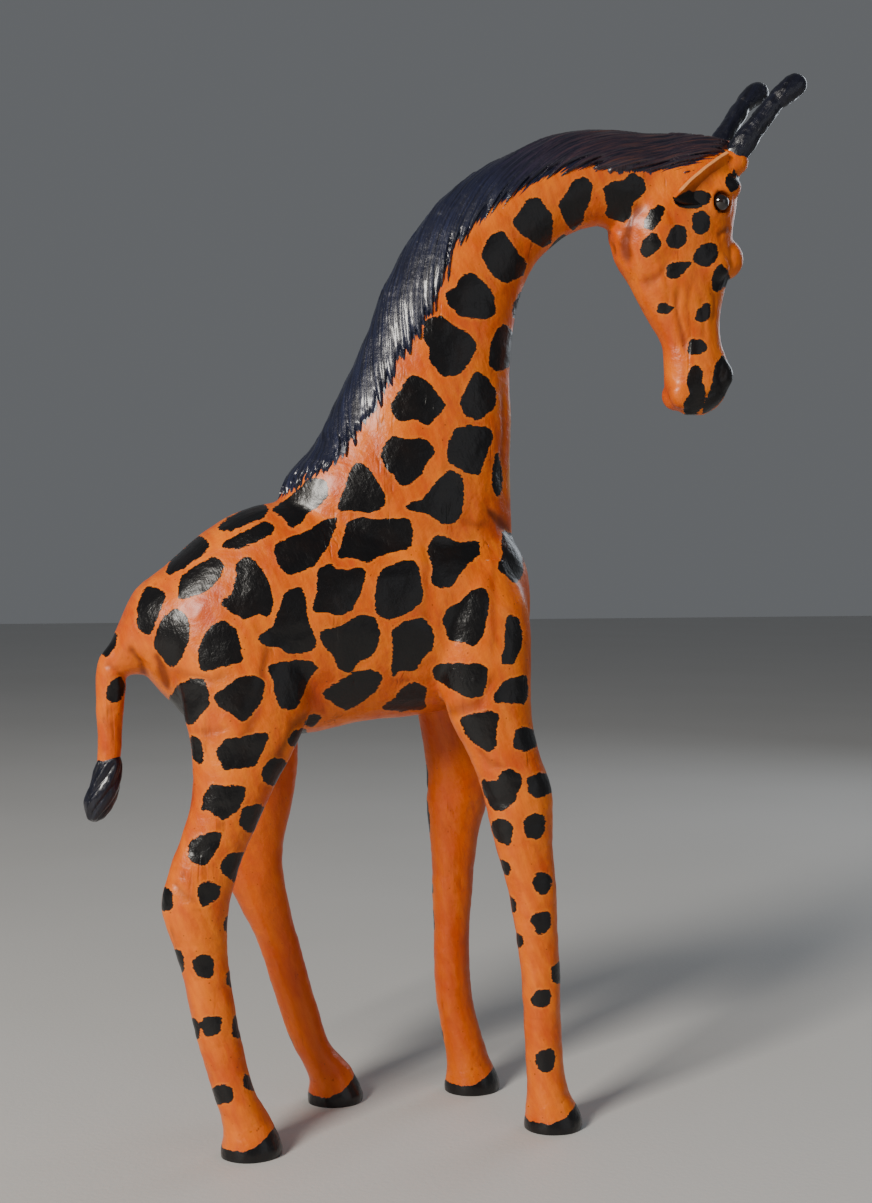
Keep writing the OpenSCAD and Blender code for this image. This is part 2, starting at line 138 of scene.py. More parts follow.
# ---- Painted patches ----
BODY_PATCHES = (
    # Rump and back
    ((-107, 256), (-103, 260), (-96, 264), (-89, 267), (-86, 265), (-88, 261), (-95, 259), (-101, 256)),
    ((-106, 249), (-100, 252), (-93, 256), (-87, 259), (-83, 257), (-85, 254), (-92, 251), (-98, 248)),
    ((-129, 237), (-127, 243), (-121, 248), (-115, 253), (-111, 249), (-115, 245), (-122, 240)),
    ((-124, 227), (-123, 235), (-117, 240), (-109, 244), (-105, 241), (-107, 236), (-113, 230),
     (-119, 228)),
    ((-141, 214), (-141, 224), (-137, 232), (-130, 229), (-133, 221), (-136, 212)),
    ((-156, 205), (-153, 210), (-150, 212), (-151, 207), (-154, 203)),
    ((-134, 207), (-133, 213), (-130, 219), (-125, 222), (-120, 218), (-120, 209), (-123, 202),
     (-127, 198), (-131, 202)),
    ((-115, 197), (-115, 206), (-111, 214), (-105, 217), (-100, 213), (-98, 205), (-97, 200),
     (-107, 198), (-112, 196)),
    ((-106, 225), (-101, 228), (-99, 235), (-99, 242), (-94, 244), (-90, 240), (-86, 233),
     (-84, 225), (-86, 219),
     (-91, 221), (-96, 218), (-101, 221)),
    ((-90, 210), (-84, 213), (-81, 220), (-78, 229), (-72, 231), (-70, 227), (-70, 221), (-68, 214),
     (-65, 207),
     (-68, 204), (-77, 203), (-80, 206), (-88, 207)),
    ((-83, 249), (-76, 252), (-68, 255), (-61, 260), (-56, 261), (-58, 254), (-61, 248), (-65, 242),
     (-70, 239),
     (-77, 237), (-81, 241)),
    ((-84, 264), (-78, 268), (-72, 273), (-68, 278), (-61, 277), (-60, 271), (-65, 266), (-69, 264),
     (-71, 260),
     (-76, 257), (-78, 261)),
    # Flank
    ((-56, 265), (-53, 270), (-51, 277), (-48, 285), (-43, 284), (-39, 278), (-35, 272), (-35, 267),
     (-40, 264), (-48, 265)),
    ((-51, 259), (-47, 261), (-36, 260), (-24, 261), (-22, 256), (-23, 249), (-31, 247), (-37, 245),
     (-43, 242),
     (-49, 245), (-55, 244), (-53, 250)),
    ((-67, 221), (-64, 228), (-64, 238), (-59, 241), (-55, 238), (-43, 239), (-45, 231), (-49, 222),
     (-55, 219), (-60, 221)),
    ((-38, 220), (-38, 235), (-34, 239), (-27, 242), (-21, 243), (-19, 236), (-17, 226), (-24, 220),
     (-33, 217)),
    ((-63, 212), (-56, 213), (-50, 216), (-44, 219), (-39, 217), (-37, 211), (-38, 206), (-41, 201),
     (-47, 199),
     (-50, 194), (-54, 195), (-57, 202), (-62, 207)),
    ((-31, 192), (-30, 205), (-31, 212), (-24, 216), (-17, 217), (-13, 212), (-13, 205), (-18, 200),
     (-21, 195), (-28, 195)),
    ((-62, 185), (-55, 189), (-49, 193), (-43, 195), (-36, 193), (-38, 187), (-44, 182), (-51, 178),
     (-57, 181)),
    ((-36, 178), (-30, 182), (-26, 187), (-22, 189), (-16, 187), (-17, 181), (-16, 178), (-25, 177)),
    # Shoulder and chest
    ((-15, 248), (-11, 254), (-7, 253), (-2, 250), (8, 251), (8, 245), (3, 242), (0, 238),
     (-4, 232), (-8, 231),
     (-13, 233), (-12, 240)),
    ((-8, 216), (-6, 221), (0, 224), (5, 229), (11, 230), (13, 226), (12, 218), (10, 210), (6, 205),
     (1, 207),
     (-5, 208), (-6, 212)),
    ((20, 256), (24, 254), (27, 248), (29, 241), (28, 235), (25, 233), (22, 236), (17, 240),
     (20, 244), (19, 250)),
    ((22, 218), (26, 217), (28, 210), (27, 203), (24, 197), (19, 197), (21, 204), (21, 211)),
    ((-12, 195), (-9, 197), (12, 196), (12, 190), (10, 183), (4, 182), (-1, 185), (-8, 189),
     (-12, 192)),
    ((16, 183), (20, 188), (25, 190), (30, 191), (31, 184), (30, 179), (22, 180), (16, 180)),
    # Tops of the legs
    ((-86, 197), (-79, 199), (-68, 199), (-64, 196), (-69, 192), (-70, 187), (-75, 179), (-81, 180),
     (-83, 187), (-83, 191)),
    ((-109, 185), (-104, 188), (-99, 192), (-92, 193), (-88, 191), (-89, 183), (-93, 178),
     (-97, 174), (-102, 178), (-107, 181)),
    ((-128, 184), (-124, 190), (-119, 192), (-114, 192), (-112, 187), (-112, 181), (-115, 178),
     (-119, 173), (-124, 178)),
    ((-70, 172), (-66, 176), (-63, 175), (-66, 172)),
    ((-77, 164), (-75, 168), (-70, 170), (-69, 166), (-73, 162)),
    ((0, 173), (6, 174), (12, 175), (18, 174), (16, 168), (16, 160), (13, 158), (8, 161), (3, 166)),
    ((26, 167), (30, 168), (34, 166), (35, 160), (31, 158), (25, 159)),
    ((-119, 168), (-116, 167), (-114, 162), (-115, 156), (-118, 160)),
    ((-108, 161), (-105, 166), (-98, 166), (-92, 168), (-86, 168), (-88, 162), (-92, 155),
     (-98, 154), (-105, 154)),
    ((-88, 153), (-84, 157), (-78, 156), (-79, 150), (-83, 146), (-88, 148)),
    # Tail
    ((-154, 186), (-153, 191), (-148, 194), (-147, 188), (-149, 184), (-153, 184)),
    # Neck, from the shoulder up
    ((-26, 266), (-16, 270), (-11, 277), (-5, 282), (0, 280), (1, 272), (0, 264), (-3, 259),
     (-9, 260), (-15, 264)),
    ((-36, 289), (-33, 294), (-30, 297), (-25, 295), (-18, 296), (-13, 293), (-13, 289), (-17, 285),
     (-18, 281),
     (-26, 275), (-30, 280), (-34, 284)),
    ((-6, 290), (-3, 300), (4, 302), (14, 301), (14, 296), (11, 289), (8, 281), (3, 282), (-5, 286)),
    ((-32, 309), (-27, 317), (-22, 324), (-17, 322), (-12, 317), (-7, 311), (-12, 306), (-15, 302),
     (-20, 305), (-28, 304)),
    ((0, 312), (4, 321), (7, 326), (12, 323), (16, 318), (15, 311), (11, 307), (7, 305), (2, 308)),
    ((-17, 341), (-15, 348), (-9, 350), (-5, 346), (3, 343), (7, 337), (2, 329), (-1, 325),
     (-8, 324), (-14, 331), (-14, 335)),
    ((17, 345), (20, 347), (24, 343), (24, 335), (22, 329), (17, 327), (13, 330), (14, 338)),
    ((24, 351), (25, 357), (29, 363), (31, 365), (29, 358), (27, 351)),
    ((-7, 360), (-2, 362), (1, 368), (5, 369), (10, 366), (14, 361), (16, 352), (12, 350), (1, 350),
     (-5, 355)),
    ((10, 378), (14, 386), (19, 388), (22, 385), (25, 380), (30, 375), (29, 370), (24, 368),
     (20, 366), (14, 370), (12, 374)),
    ((24, 393), (28, 398), (31, 403), (36, 404), (39, 400), (42, 397), (42, 391), (41, 384),
     (37, 383), (32, 386), (27, 389)),
    ((46, 401), (50, 407), (53, 413), (58, 414), (61, 411), (60, 404), (57, 399), (56, 394),
     (52, 391), (49, 395)),
    ((67, 410), (70, 412), (77, 414), (80, 417), (85, 416), (87, 411), (84, 407), (80, 404),
     (79, 398), (76, 396),
     (68, 398), (69, 403)),
    ((15, 275), (15, 283), (17, 291), (19, 284), (19, 276), (17, 271)),
    # Head
    ((86, 394), (89, 401), (93, 404), (97, 403), (95, 399), (92, 394), (89, 393)),
    ((85, 382), (86, 387), (90, 391), (93, 390), (95, 386), (91, 382), (88, 380)),
    ((97, 388), (99, 393), (103, 396), (107, 394), (107, 388), (104, 385), (99, 385)),
    ((110, 395), (110, 401), (114, 403), (118, 401), (119, 396), (116, 392), (111, 392)),
    ((110, 381), (113, 386), (117, 388), (122, 388), (123, 383), (120, 378), (115, 377), (111, 379)),
    ((97, 372), (98, 377), (103, 379), (110, 379), (107, 375), (102, 371)),
    ((120, 370), (121, 376), (124, 379), (128, 376), (129, 371), (126, 368), (122, 366), (120, 367)),
    ((93, 359), (96, 360), (102, 358), (98, 355), (93, 355)),
    ((111, 353), (113, 358), (117, 361), (119, 360), (118, 353), (114, 352)),
    ((108, 340), (109, 344), (114, 344), (117, 342), (117, 339), (113, 337), (108, 337)),
    ((107, 325), (109, 331), (112, 333), (115, 330), (115, 324), (117, 319), (116, 313), (112, 309),
     (106, 308), (106, 315), (109, 319)),
    ((119, 320), (120, 327), (122, 334), (125, 337), (131, 330), (130, 325), (125, 316), (119, 311),
     (116, 309), (115, 314)),
    ((126, 415), (127, 420), (131, 421), (134, 418), (132, 413), (128, 412)),
    # Dark under the ear's tip: partly a painted patch, partly painted shade of the ear.
    ((100, 406), (105, 411), (113, 412), (119, 411), (118, 406), (111, 403), (103, 404)),
)
# Patches on the lower legs, laid out on a board through the near legs
LEG_BOARD_Y = -30.0
LEG_PATCHES = (
    # Hind leg
    ((-118, 141), (-117, 147), (-114, 151), (-110, 150), (-106, 150), (-101, 150), (-101, 145),
     (-105, 139), (-110, 137),
     (-112, 139), (-117, 142)),
    ((-102, 137), (-101, 141), (-96, 142), (-91, 140), (-95, 134), (-99, 131), (-102, 134)),
    ((-124, 123), (-123, 128), (-119, 130), (-115, 131), (-110, 131), (-113, 124), (-117, 119),
     (-121, 119)),
    ((-110, 118), (-107, 122), (-100, 122), (-102, 117), (-104, 111), (-107, 113), (-110, 115)),
    ((-136, 104), (-134, 110), (-131, 108), (-131, 101), (-135, 101)),
    ((-120, 109), (-116, 111), (-111, 109), (-112, 105), (-118, 101), (-119, 105)),
    ((-109, 91), (-108, 96), (-105, 98), (-105, 91)),
    ((-130, 84), (-127, 83), (-126, 75), (-130, 78)),
    ((-122, 79), (-119, 81), (-114, 80), (-114, 72), (-120, 73), (-121, 77)),
    ((-108, 73), (-105, 75), (-105, 67), (-108, 69)),
    ((-124, 56), (-120, 54), (-120, 47), (-123, 50)),
    ((-120, 52), (-117, 56), (-111, 55), (-112, 49), (-117, 48), (-118, 51)),
    ((-106, 49), (-105, 56), (-102, 52), (-102, 46), (-105, 47)),
    ((-115, 25), (-112, 27), (-107, 26), (-106, 21), (-109, 20), (-113, 20)),
    ((-101, 26), (-101, 31), (-97, 27), (-97, 24)),
    # Front leg
    ((1, 149), (4, 148), (8, 148), (10, 152), (14, 153), (18, 150), (18, 145), (15, 143), (16, 140),
     (10, 136), (5, 138), (2, 144)),
    ((21, 149), (26, 151), (32, 149), (32, 143), (25, 141), (22, 144)),
    ((6, 131), (10, 132), (14, 130), (14, 125), (13, 121), (8, 124)),
    ((20, 132), (25, 134), (29, 132), (29, 127), (26, 123), (21, 124)),
    ((8, 115), (13, 112), (13, 109), (9, 108)),
    ((24, 105), (27, 108), (31, 107), (32, 103), (30, 99), (26, 100)),
    ((12, 100), (16, 96), (16, 92), (12, 94)),
    ((23, 87), (25, 90), (31, 91), (32, 86), (30, 83), (25, 82), (26, 86)),
    ((15, 83), (19, 81), (19, 78), (15, 75)),
    ((33, 67), (37, 69), (37, 60), (33, 61)),
    ((23, 53), (26, 57), (32, 57), (31, 51), (28, 50), (24, 52)),
    ((25, 26), (26, 30), (33, 31), (34, 26), (32, 22), (28, 22)),
)


# ---- Mesh tools ----
def deselect_all():
    """Leave edit mode and select nothing."""
    if bpy.context.object and bpy.context.object.mode != "OBJECT":
        bpy.ops.object.mode_set(mode="OBJECT")
    bpy.ops.object.select_all(action="DESELECT")


def choose(*objects):
    """Make these the selected objects, the first of them active."""
    deselect_all()
    for item in objects:
        item.select_set(True)
    bpy.context.view_layer.objects.active = objects[0]


def apply_modifier(obj, kind, **settings):
    """Put one modifier on a piece and apply it."""
    choose(obj)
    bpy.ops.object.modifier_add(type=kind)
    modifier = obj.modifiers[-1]
    for key, value in settings.items():
        setattr(modifier, key, value)
    bpy.ops.object.modifier_apply(modifier=modifier.name)


def settle(obj):
    """Put a piece's place into its mesh."""
    choose(obj)
    bpy.ops.object.transform_apply(location=True, rotation=True, scale=True)


def fair(stations, gap):
    """Stations at an even gap along a smooth run through the chosen ones."""
    rows = np.array(stations, float)
    fine = []
    for i in range(len(rows) - 1):
        a, b, c, d = rows[max(i - 1, 0)], rows[i], rows[i + 1], rows[min(i + 2, len(rows) - 1)]
        count = max(1, round(float(np.linalg.norm(c[:3] - b[:3])) / gap))
        for t in np.arange(count) / count:
            square, cube = 2 * a - 5 * b + 4 * c - d, 3 * b - a - 3 * c + d
            fine.append(0.5 * (2 * b + (c - a) * t + square * t**2 + cube * t**3))
    fine.append(rows[-1])
    return fine


def loft(name, stations, sides=40, gap=4.0):
    """Extrude a ring along the stations, turning and sizing it at each one."""
    fine = fair(stations, gap)
    deselect_all()
    bpy.ops.mesh.primitive_circle_add(vertices=sides, radius=MM, fill_type="NGON", location=(0, 0, 0))
    obj = bpy.context.object
    obj.name = name
    choose(obj)
    bpy.ops.object.mode_set(mode="EDIT")
    place = Vector((0, 0, 0))
    lean, depth, width = 0.0, 1.0, 1.0
    for number, (x, y, z, new_lean, new_depth, new_width) in enumerate(fine):
        if number:
            bpy.ops.mesh.extrude_region_move()
            turn_about_y(-lean, place)
        there = Vector((x, y, z)) * MM
        bpy.ops.transform.translate(value=there - place)
        bpy.ops.transform.resize(value=(new_depth / depth, new_width / width, 1), center_override=there)
        turn_about_y(new_lean, there)
        place, lean, depth, width = there, new_lean, new_depth, new_width
    bpy.ops.mesh.select_all(action="SELECT")
    bpy.ops.mesh.normals_make_consistent(inside=False)
    bpy.ops.object.mode_set(mode="OBJECT")
    settle(obj)
    return obj


def turn_about_y(degrees, centre):
    """Turn what is selected so that +X swings up towards +Z by these degrees."""
    if degrees:
        bpy.ops.transform.rotate(value=math.radians(degrees), orient_axis="Y", center_override=centre)


def swell(obj, lumps):
    """Add rounded lumps to a form, one on each side."""
    made = []
    for (x, y, z), (rx, ry, rz) in lumps:
        for side in (RIGHT, LEFT):
            deselect_all()
            bpy.ops.mesh.primitive_uv_sphere_add(segments=24, ring_count=16, radius=1)
            lump = bpy.context.object
            lump.scale = (rx * MM, ry * MM, rz * MM)
            lump.location = (x * MM, side * y * MM, z * MM)
            settle(lump)
            made.append(lump)
    choose(obj, *made)
    bpy.ops.object.join()
    return obj


def tree_of(obj):
    """A search tree of a form's surface."""
    mesh = obj.data
    mesh.calc_loop_triangles()
    points = [v.co.copy() for v in mesh.vertices]
    return BVHTree.FromPolygons(points, [tuple(t.vertices) for t in mesh.loop_triangles])


def coords(mesh):
    """Vertex positions of a mesh in millimetres."""
    flat = np.empty(len(mesh.vertices) * 3)
    mesh.vertices.foreach_get("co", flat)
    return flat.reshape(-1, 3) / MM


def normals(mesh):
    """Vertex normals of a mesh."""
    flat = np.empty(len(mesh.vertices) * 3)
    mesh.vertices.foreach_get("normal", flat)
    return flat.reshape(-1, 3)


def move_to(mesh, points):
    """Put a mesh's vertices at these positions, given in millimetres."""
    mesh.vertices.foreach_set("co", (points * MM).ravel())
    mesh.update()


def write_value(mesh, name, values):
    """Keep one number per vertex for a material to read."""
    layer = mesh.attributes.get(name) or mesh.attributes.new(name, "FLOAT", "POINT")
    layer.data.foreach_set("value", np.asarray(values, dtype=np.float32))


def ease(low, high, values):
    """0 below low, 1 above high, smooth between."""
    t = np.clip((values - low) / (high - low), 0, 1)
    return t * t * (3 - 2 * t)


# ---- Layout of the painted patches ----
# Patches are laid out on an upright board along the figure's middle, in millimetres of X and Z,
# and carried to the skin along straight lines from the painter's eye.
PAINTER = (-205.0, -723.0, 243.0)


def on_board(points, side, board_y=0.0):
    """Where lines from the painter's eye through these points cross the board, as X and Z."""
    eye = np.array(PAINTER)
    there = points * np.array([1.0, -side, 1.0])
    reach = (board_y - eye[1]) / (there[:, 1] - eye[1])
    crossing = eye + (there - eye) * reach[:, None]
    return crossing[:, [0, 2]]


def rounded(outline, rounds=2):
    """Cut the corners of a closed outline."""
    pts = np.array(outline, float)
    for _ in range(rounds):
        after = np.roll(pts, -1, axis=0)
        pts = np.stack([pts * 0.84 + after * 0.16, pts * 0.16 + after * 0.84], axis=1).reshape(-1, 2)
    return pts


def inside_distance(points, outline):
    """Signed distance to a closed outline, positive inside it."""
    a = outline
    b = np.roll(outline, -1, axis=0)
    best = np.full(len(points), 1e9)
    crossed = np.zeros(len(points), bool)
    for (ax, ay), (bx, by) in zip(a, b):
        dx, dy = bx - ax, by - ay
        px, py = points[:, 0] - ax, points[:, 1] - ay
        t = np.clip((px * dx + py * dy) / (dx * dx + dy * dy + 1e-9), 0, 1)
        best = np.minimum(best, (px - t * dx) ** 2 + (py - t * dy) ** 2)
        if ay != by:
            spans = (ay > points[:, 1]) != (by > points[:, 1])
            crossed ^= spans & (points[:, 0] < ax + (points[:, 1] - ay) * dx / dy)
    return np.where(crossed, 1, -1) * np.sqrt(best)


def line_distance(points, line):
    """Distance to an open line, and the share of its length reached there."""
    line = np.array(line, float)
    best = np.full(len(points), 1e9)
    share = np.zeros(len(points))
    lengths = np.linalg.norm(np.diff(line, axis=0), axis=1)
    total = lengths.sum()
    run = 0.0
    for a, b, length in zip(line[:-1], line[1:], lengths):
        d = b - a
        rel = points - a
        t = np.clip((rel @ d) / (length * length + 1e-9), 0, 1)
        dist = np.linalg.norm(rel - t[:, None] * d, axis=1)
        near = dist < best
        best = np.where(near, dist, best)
        share = np.where(near, (run + t * length) / total, share)
        run += length
    return best, share


# ---- Whole skin ----
LEGS = {
    "front_right_leg": FRONT_RIGHT_LEG, "front_left_leg": FRONT_LEFT_LEG,
    "hind_right_leg": HIND_RIGHT_LEG, "hind_left_leg": HIND_LEFT_LEG,
}
FORMS = {"torso": TORSO, "neck": NECK, "head": HEAD, **LEGS, "tail": TAIL}
VOXEL = 1.1 * MM
# Least height of the skin's outer face above the core, in millimetres
SKIN_CLEAR = 0.5
EYE = np.array((117.5, 12.6, 404.0))
# How far the black of each hoof climbs from heel to toe, in millimetres
HOOF_RISE = {"front": 6.0, "hind": 8.0}
HOOF_HEEL = 2.3

# The mane's lower edge along the neck, on the middle board, then round behind the neck
MANE_AREA = (
    (-80, 270), (-73, 275), (-66, 280), (-56, 285), (-48, 296), (-38, 309), (-30, 326), (-21, 340),
    (-13, 353), (-7, 368),
    (0, 384), (10, 393), (20, 402), (32, 409), (45, 416), (60, 420), (72, 417), (88, 418),
    (105, 421), (118, 427),
    (127, 431), (127, 450), (60, 470), (-20, 430), (-80, 360), (-110, 280),
)
# Depth of the fold that is the leather's sewn seam
SEAM_RIDGE = -0.7
# Folds in the leather: line on the middle board, half width and depth in millimetres.
# A negative depth is a ridge.
FOLDS = (
    (((11, 267), (18, 260), (27, 250)), 2.0, 1.0),
    (((-2, 262), (8, 258), (17, 259)), 2.5, 0.5),
    (((23, 330), (23, 300), (22, 275), (22.5, 262)), 1.0, SEAM_RIDGE),
    (((19.5, 330), (19.5, 300), (18.5, 275), (19.5, 262)), 1.4, 0.5),
    (((15, 245), (15, 228), (16, 212), (15, 196)), 2.2, 0.5),
    (((-17, 256), (-15, 240), (-17, 222), (-12, 204)), 3.0, 0.5),
    (((18, 196), (8, 179), (-4, 176), (-14, 180)), 3.0, 0.6),
    (((-64, 178), (-74, 172), (-80, 160), (-84, 150)), 2.5, 0.7),
    (((-83, 216), (-87, 200), (-90, 184), (-95, 168), (-104, 152)), 3.0, 0.7),
    (((-130, 196), (-120, 194), (-110, 192), (-98, 196)), 2.6, 0.5),
    (((-120, 170), (-110, 170), (-100, 172)), 2.0, 0.4),
    (((-134, 205), (-131, 195), (-128, 186)), 1.8, 1.1),
    (((-146, 208), (-140, 200), (-137, 190)), 1.5, 0.8),
    (((-156, 200), (-150, 197), (-145, 190)), 1.3, 0.5),
    (((62, 392), (68, 387), (72, 378)), 1.6, 0.9),
    (((66, 396), (72, 391), (78, 383)), 1.6, -0.6),
    (((79, 374), (77, 385), (80, 398), (88, 407)), 2.4, 1.1),
    (((84, 367), (93, 372), (101, 380)), 2.4, 0.6),
    (((103, 371), (102, 358), (105, 345), (108, 334)), 1.5, 0.7),
    (((109, 372), (108, 358), (109, 345)), 1.1, 0.5),
    (((114, 366), (116, 352), (115, 340)), 1.2, 0.4),
    (((95, 380), (98, 366), (97, 350)), 1.6, 0.4),
    (((119, 372), (121, 362), (120, 350)), 1.2, 0.5),
    (((121, 391), (126, 394), (130, 396)), 1.5, 0.7),
    (((106, 312), (111, 316), (117, 318), (124, 322)), 1.1, 0.7),
    (((123, 326), (125, 330), (123.5, 333)), 1.2, 0.9),
    (((-118, 116), (-112, 122), (-104, 124)), 1.6, 0.5),
    (((-128, 108), (-122, 100), (-114, 96)), 1.8, 0.5),
    (((7, 160), (14, 152), (24, 150)), 1.8, 0.5),
    (((9, 140), (17, 134), (28, 136)), 1.6, 0.4),
)
# Spots on the faces that neither side board reaches: centre and radius in millimetres
FRONT_SPOTS = (
    ((33, 2, 244), 8), ((33, 1, 218), 8.5), ((34, -1, 196), 7), ((27, 1, 290), 6.5),
     ((26, -1, 316), 6.5),
    ((27, 1, 340), 6), ((34, 0, 362), 6), ((133, 1, 408), 5), ((128, -1, 346), 4.5), ((45, -1, 384), 5),
)


def to_ground(leg):
    """A leg's stations with its hoof's below, run down past the sole."""
    x, y = leg[0][:2]
    return (
        (x + 2, y, -5.5, 0, 11.8, 10.9), (x + 2, y, -2.5, 0, 12.7, 11.7),
        (x + 2.2, y, 0.5, 0, 12.9, 11.8),
        (x + 1.4, y, 5, 5, 11.5, 10.8), *leg,
    )


def cloud(points, size, seed):
    """Smooth noise, about -1 to 1, with lumps of this size in millimetres."""
    shift = Vector((seed * 7.3, seed * 3.1, seed * 5.7))
    return np.array([noise.noise(Vector(p) / size + shift) for p in points]) * 1.6


def centre_at(leg, heights):
    """X of a leg's centre line at these heights."""
    rows = np.array(leg, float)
    return np.interp(heights, rows[:, 2], rows[:, 0])


def left_leg_shift(points):
    """How far forward a right leg's patches move to fit the left leg beside it."""
    heights = points[:, 2]
    front = centre_at(FRONT_RIGHT_LEG, heights) - centre_at(FRONT_LEFT_LEG, heights)
    hind = centre_at(HIND_RIGHT_LEG, heights) - centre_at(HIND_LEFT_LEG, heights)
    return np.where(points[:, 0] > -35, front, hind) * ease(200, 165, heights)


def board_places(points, side, board_y=0.0):
    """Where points lie on a side's board. The left layout wanders, so that it is no mirror image."""
    there = points.copy()
    if side == LEFT:
        there[:, 0] += left_leg_shift(points)
    flat = on_board(there, side, board_y)
    if side == LEFT:
        drift = ease(4, 18, points[:, 1])
        x, z = flat.T
        wander_x = 4 * np.sin(z / 19 + 1) + 2 * np.sin(x / 11)
        wander_z = 4 * np.sin(x / 17) + 2 * np.sin(z / 9 + 2)
        wander = np.stack((wander_x, wander_z), axis=1)
        flat = flat + wander * drift[:, None]
    return flat


def seen_from(points, directions, side):
    """How squarely the surface faces the painter on one side, -1 to 1."""
    toward = np.array(PAINTER) * (1, -side, 1) - points
    toward /= np.linalg.norm(toward, axis=1)[:, None]
    return (toward * directions).sum(1)


def shares(points, directions):
    """How much of the right and of the left board's paint each point takes."""
    inner_left = ease(5, 12, points[:, 1]) * ease(178, 168, points[:, 2])
    right = ease(-0.32, -0.06, seen_from(points, directions, RIGHT)) * (1 - inner_left)
    left = ease(-0.32, -0.06, seen_from(points, directions, LEFT)) * (1 - right)
    return right, left


def patch_distance(flat, outlines):
    """Signed distance to the nearest outline, positive inside, cut off at -9."""
    best = np.full(len(flat), -9.0)
    for outline in outlines:
        shape = rounded(outline)
        near = np.all((flat > shape.min(0) - 9) & (flat < shape.max(0) + 9), axis=1)
        best[near] = np.maximum(best[near], inside_distance(flat[near], shape))
    return best


def lay_patches(points, directions):
    """Signed distance to the edge of the painted patches."""
    right, left = shares(points, directions)
    total = (1 - right - left) * -3.0
    for side, share in ((RIGHT, right), (LEFT, left)):
        body = patch_distance(board_places(points, side), BODY_PATCHES)
        legs = patch_distance(board_places(points, side, LEG_BOARD_Y), LEG_PATCHES)
        low = ease(176, 164, points[:, 2])
        inner = ease(0.0, 0.35, directions[:, 1] * -side) * low
        legs = np.where(points[:, 2] < 170, legs, -9.0)
        growth = 0.7 - 0.55 * ease(78, 92, points[:, 0])
        total += share * (np.maximum(body, legs) + growth - inner * 5)
    for centre, radius in FRONT_SPOTS:
        reach = np.linalg.norm(points - np.array(centre), axis=1)
        spot = radius - reach + cloud(points, 5, 9) * 1.2
        total = np.maximum(total, np.where(reach < radius * 1.8, spot, -9))
    return total


def lay_mane(points, directions):
    """Signed distance to the mane's edge, positive under the mane."""
    right, left = shares(points, directions)
    area = rounded(MANE_AREA, 1)
    total = (1 - right - left) * -9.0
    for side, share in ((RIGHT, right), (LEFT, left)):
        total += share * np.clip(inside_distance(on_board(points, side), area), -9, 12)
    return np.where(points[:, 2] > 262, total, -9.0)


def lay_hoof(points):
    """Signed distance to the upper edge of the black hoof paint."""
    total = np.full(len(points), -9.0)
    for name, leg in LEGS.items():
        x, y = leg[0][:2]
        near = (np.abs(points[:, 0] - x) < 22) & (np.abs(points[:, 1] - y) < 14) & (points[:, 2] < 20)
        climb = HOOF_RISE[name.split("_")[0]] * ease(x - 4, x + 15, points[:, 0])
        total = np.where(near, HOOF_HEEL + climb - points[:, 2], total)
    return total


def comb_places(points):
    """For the mane's strokes: place across them and place along the neck, in millimetres."""
    rows = np.array(fair(NECK + ((130, 0, 413, -92, 14, 8),), 3.0))
    middle = rows[:, [0, 2]]
    flat = points[:, [0, 2]]
    gaps = np.linalg.norm(np.diff(middle, axis=0), axis=1)
    along_to = np.concatenate(([0], np.cumsum(gaps)))
    distance, share = line_distance(flat, middle)
    along = share * along_to[-1]
    place = np.array([np.interp(along, along_to, rows[:, k]) for k in (0, 2, 3)])
    lean = np.radians(place[2])
    back = -((flat[:, 0] - place[0]) * np.cos(lean) + (flat[:, 1] - place[1]) * np.sin(lean))
    turn = np.arctan2(np.abs(points[:, 1]) * 1.4, np.maximum(back, 1))
    return turn * 24 - 0.34 * (along_to[-1] - along), along


def sculpt(points, directions):
    """Press folds, hollows and unevenness into the skin. Gives points, seam values and the crease value,
    which darkens the paint as painted shade in folds, round the eyes and in leg wrinkles.
    """
    depth = bpy.context.scene.giraffe_sizes.fold_depth
    crease_shade = np.zeros(len(points))
    seam = np.zeros(len(points))
    push = np.zeros(len(points))
    for side in (RIGHT, LEFT):
        flat = board_places(points, side)
        facing = ease(0.0, 0.3, seen_from(points, directions, side)) * ease(6, 0, points[:, 1] * -side)
        for line, width, deep in FOLDS:
            distance, share = line_distance(flat, line)
            wobble = width * (1 + 0.3 * np.sin(share * 9 + width * 5))
            run = np.exp(-((distance / wobble) ** 2)) * ease(0, 0.2, share) * ease(1, 0.75, share) * facing
            push -= run * deep * depth
            # Folds darken the paint through the crease value: painted shade in the folds.
            crease_shade = np.maximum(crease_shade, run * abs(deep) * (1 if deep > 0 else 0.2))
            if deep == SEAM_RIDGE:
                seam = np.maximum(seam, run)
    # Eyelids: a raised rim round each bead and a socket behind it
    for side in (RIGHT, LEFT):
        reach = np.linalg.norm(points - EYE * (1, side, 1), axis=1)
        push += 1.1 * np.exp(-(((reach - 5.8) / 1.5) ** 2))
        push -= 4.0 * ease(5.0, 3.6, reach)
        # A dark ring round each eye: painted shade under the lids.
        crease_shade = np.maximum(crease_shade, 0.8 * np.exp(-(((reach - 4.6) / 1.6) ** 2)))
    # Fine wrinkles run across the legs and along the jaw
    thin = ease(175, 150, points[:, 2])
    stretched = points * (0.35, 0.5, 1.0)
    wrinkle = cloud(stretched, 3.2, 4)
    push += cloud(points, 24, 1) * 0.45 + cloud(points, 9, 2) * 0.16
    push += cloud(points, 4.2, 3) * 0.06 + wrinkle * 0.07 * (0.4 + thin)
    # Leg wrinkles darken the paint too: painted shade in the wrinkles.
    crease_shade = np.maximum(crease_shade, ease(0.55, 1.3, -wrinkle) * 0.35 * thin)
    return points + directions * push[:, None], crease_shade, seam


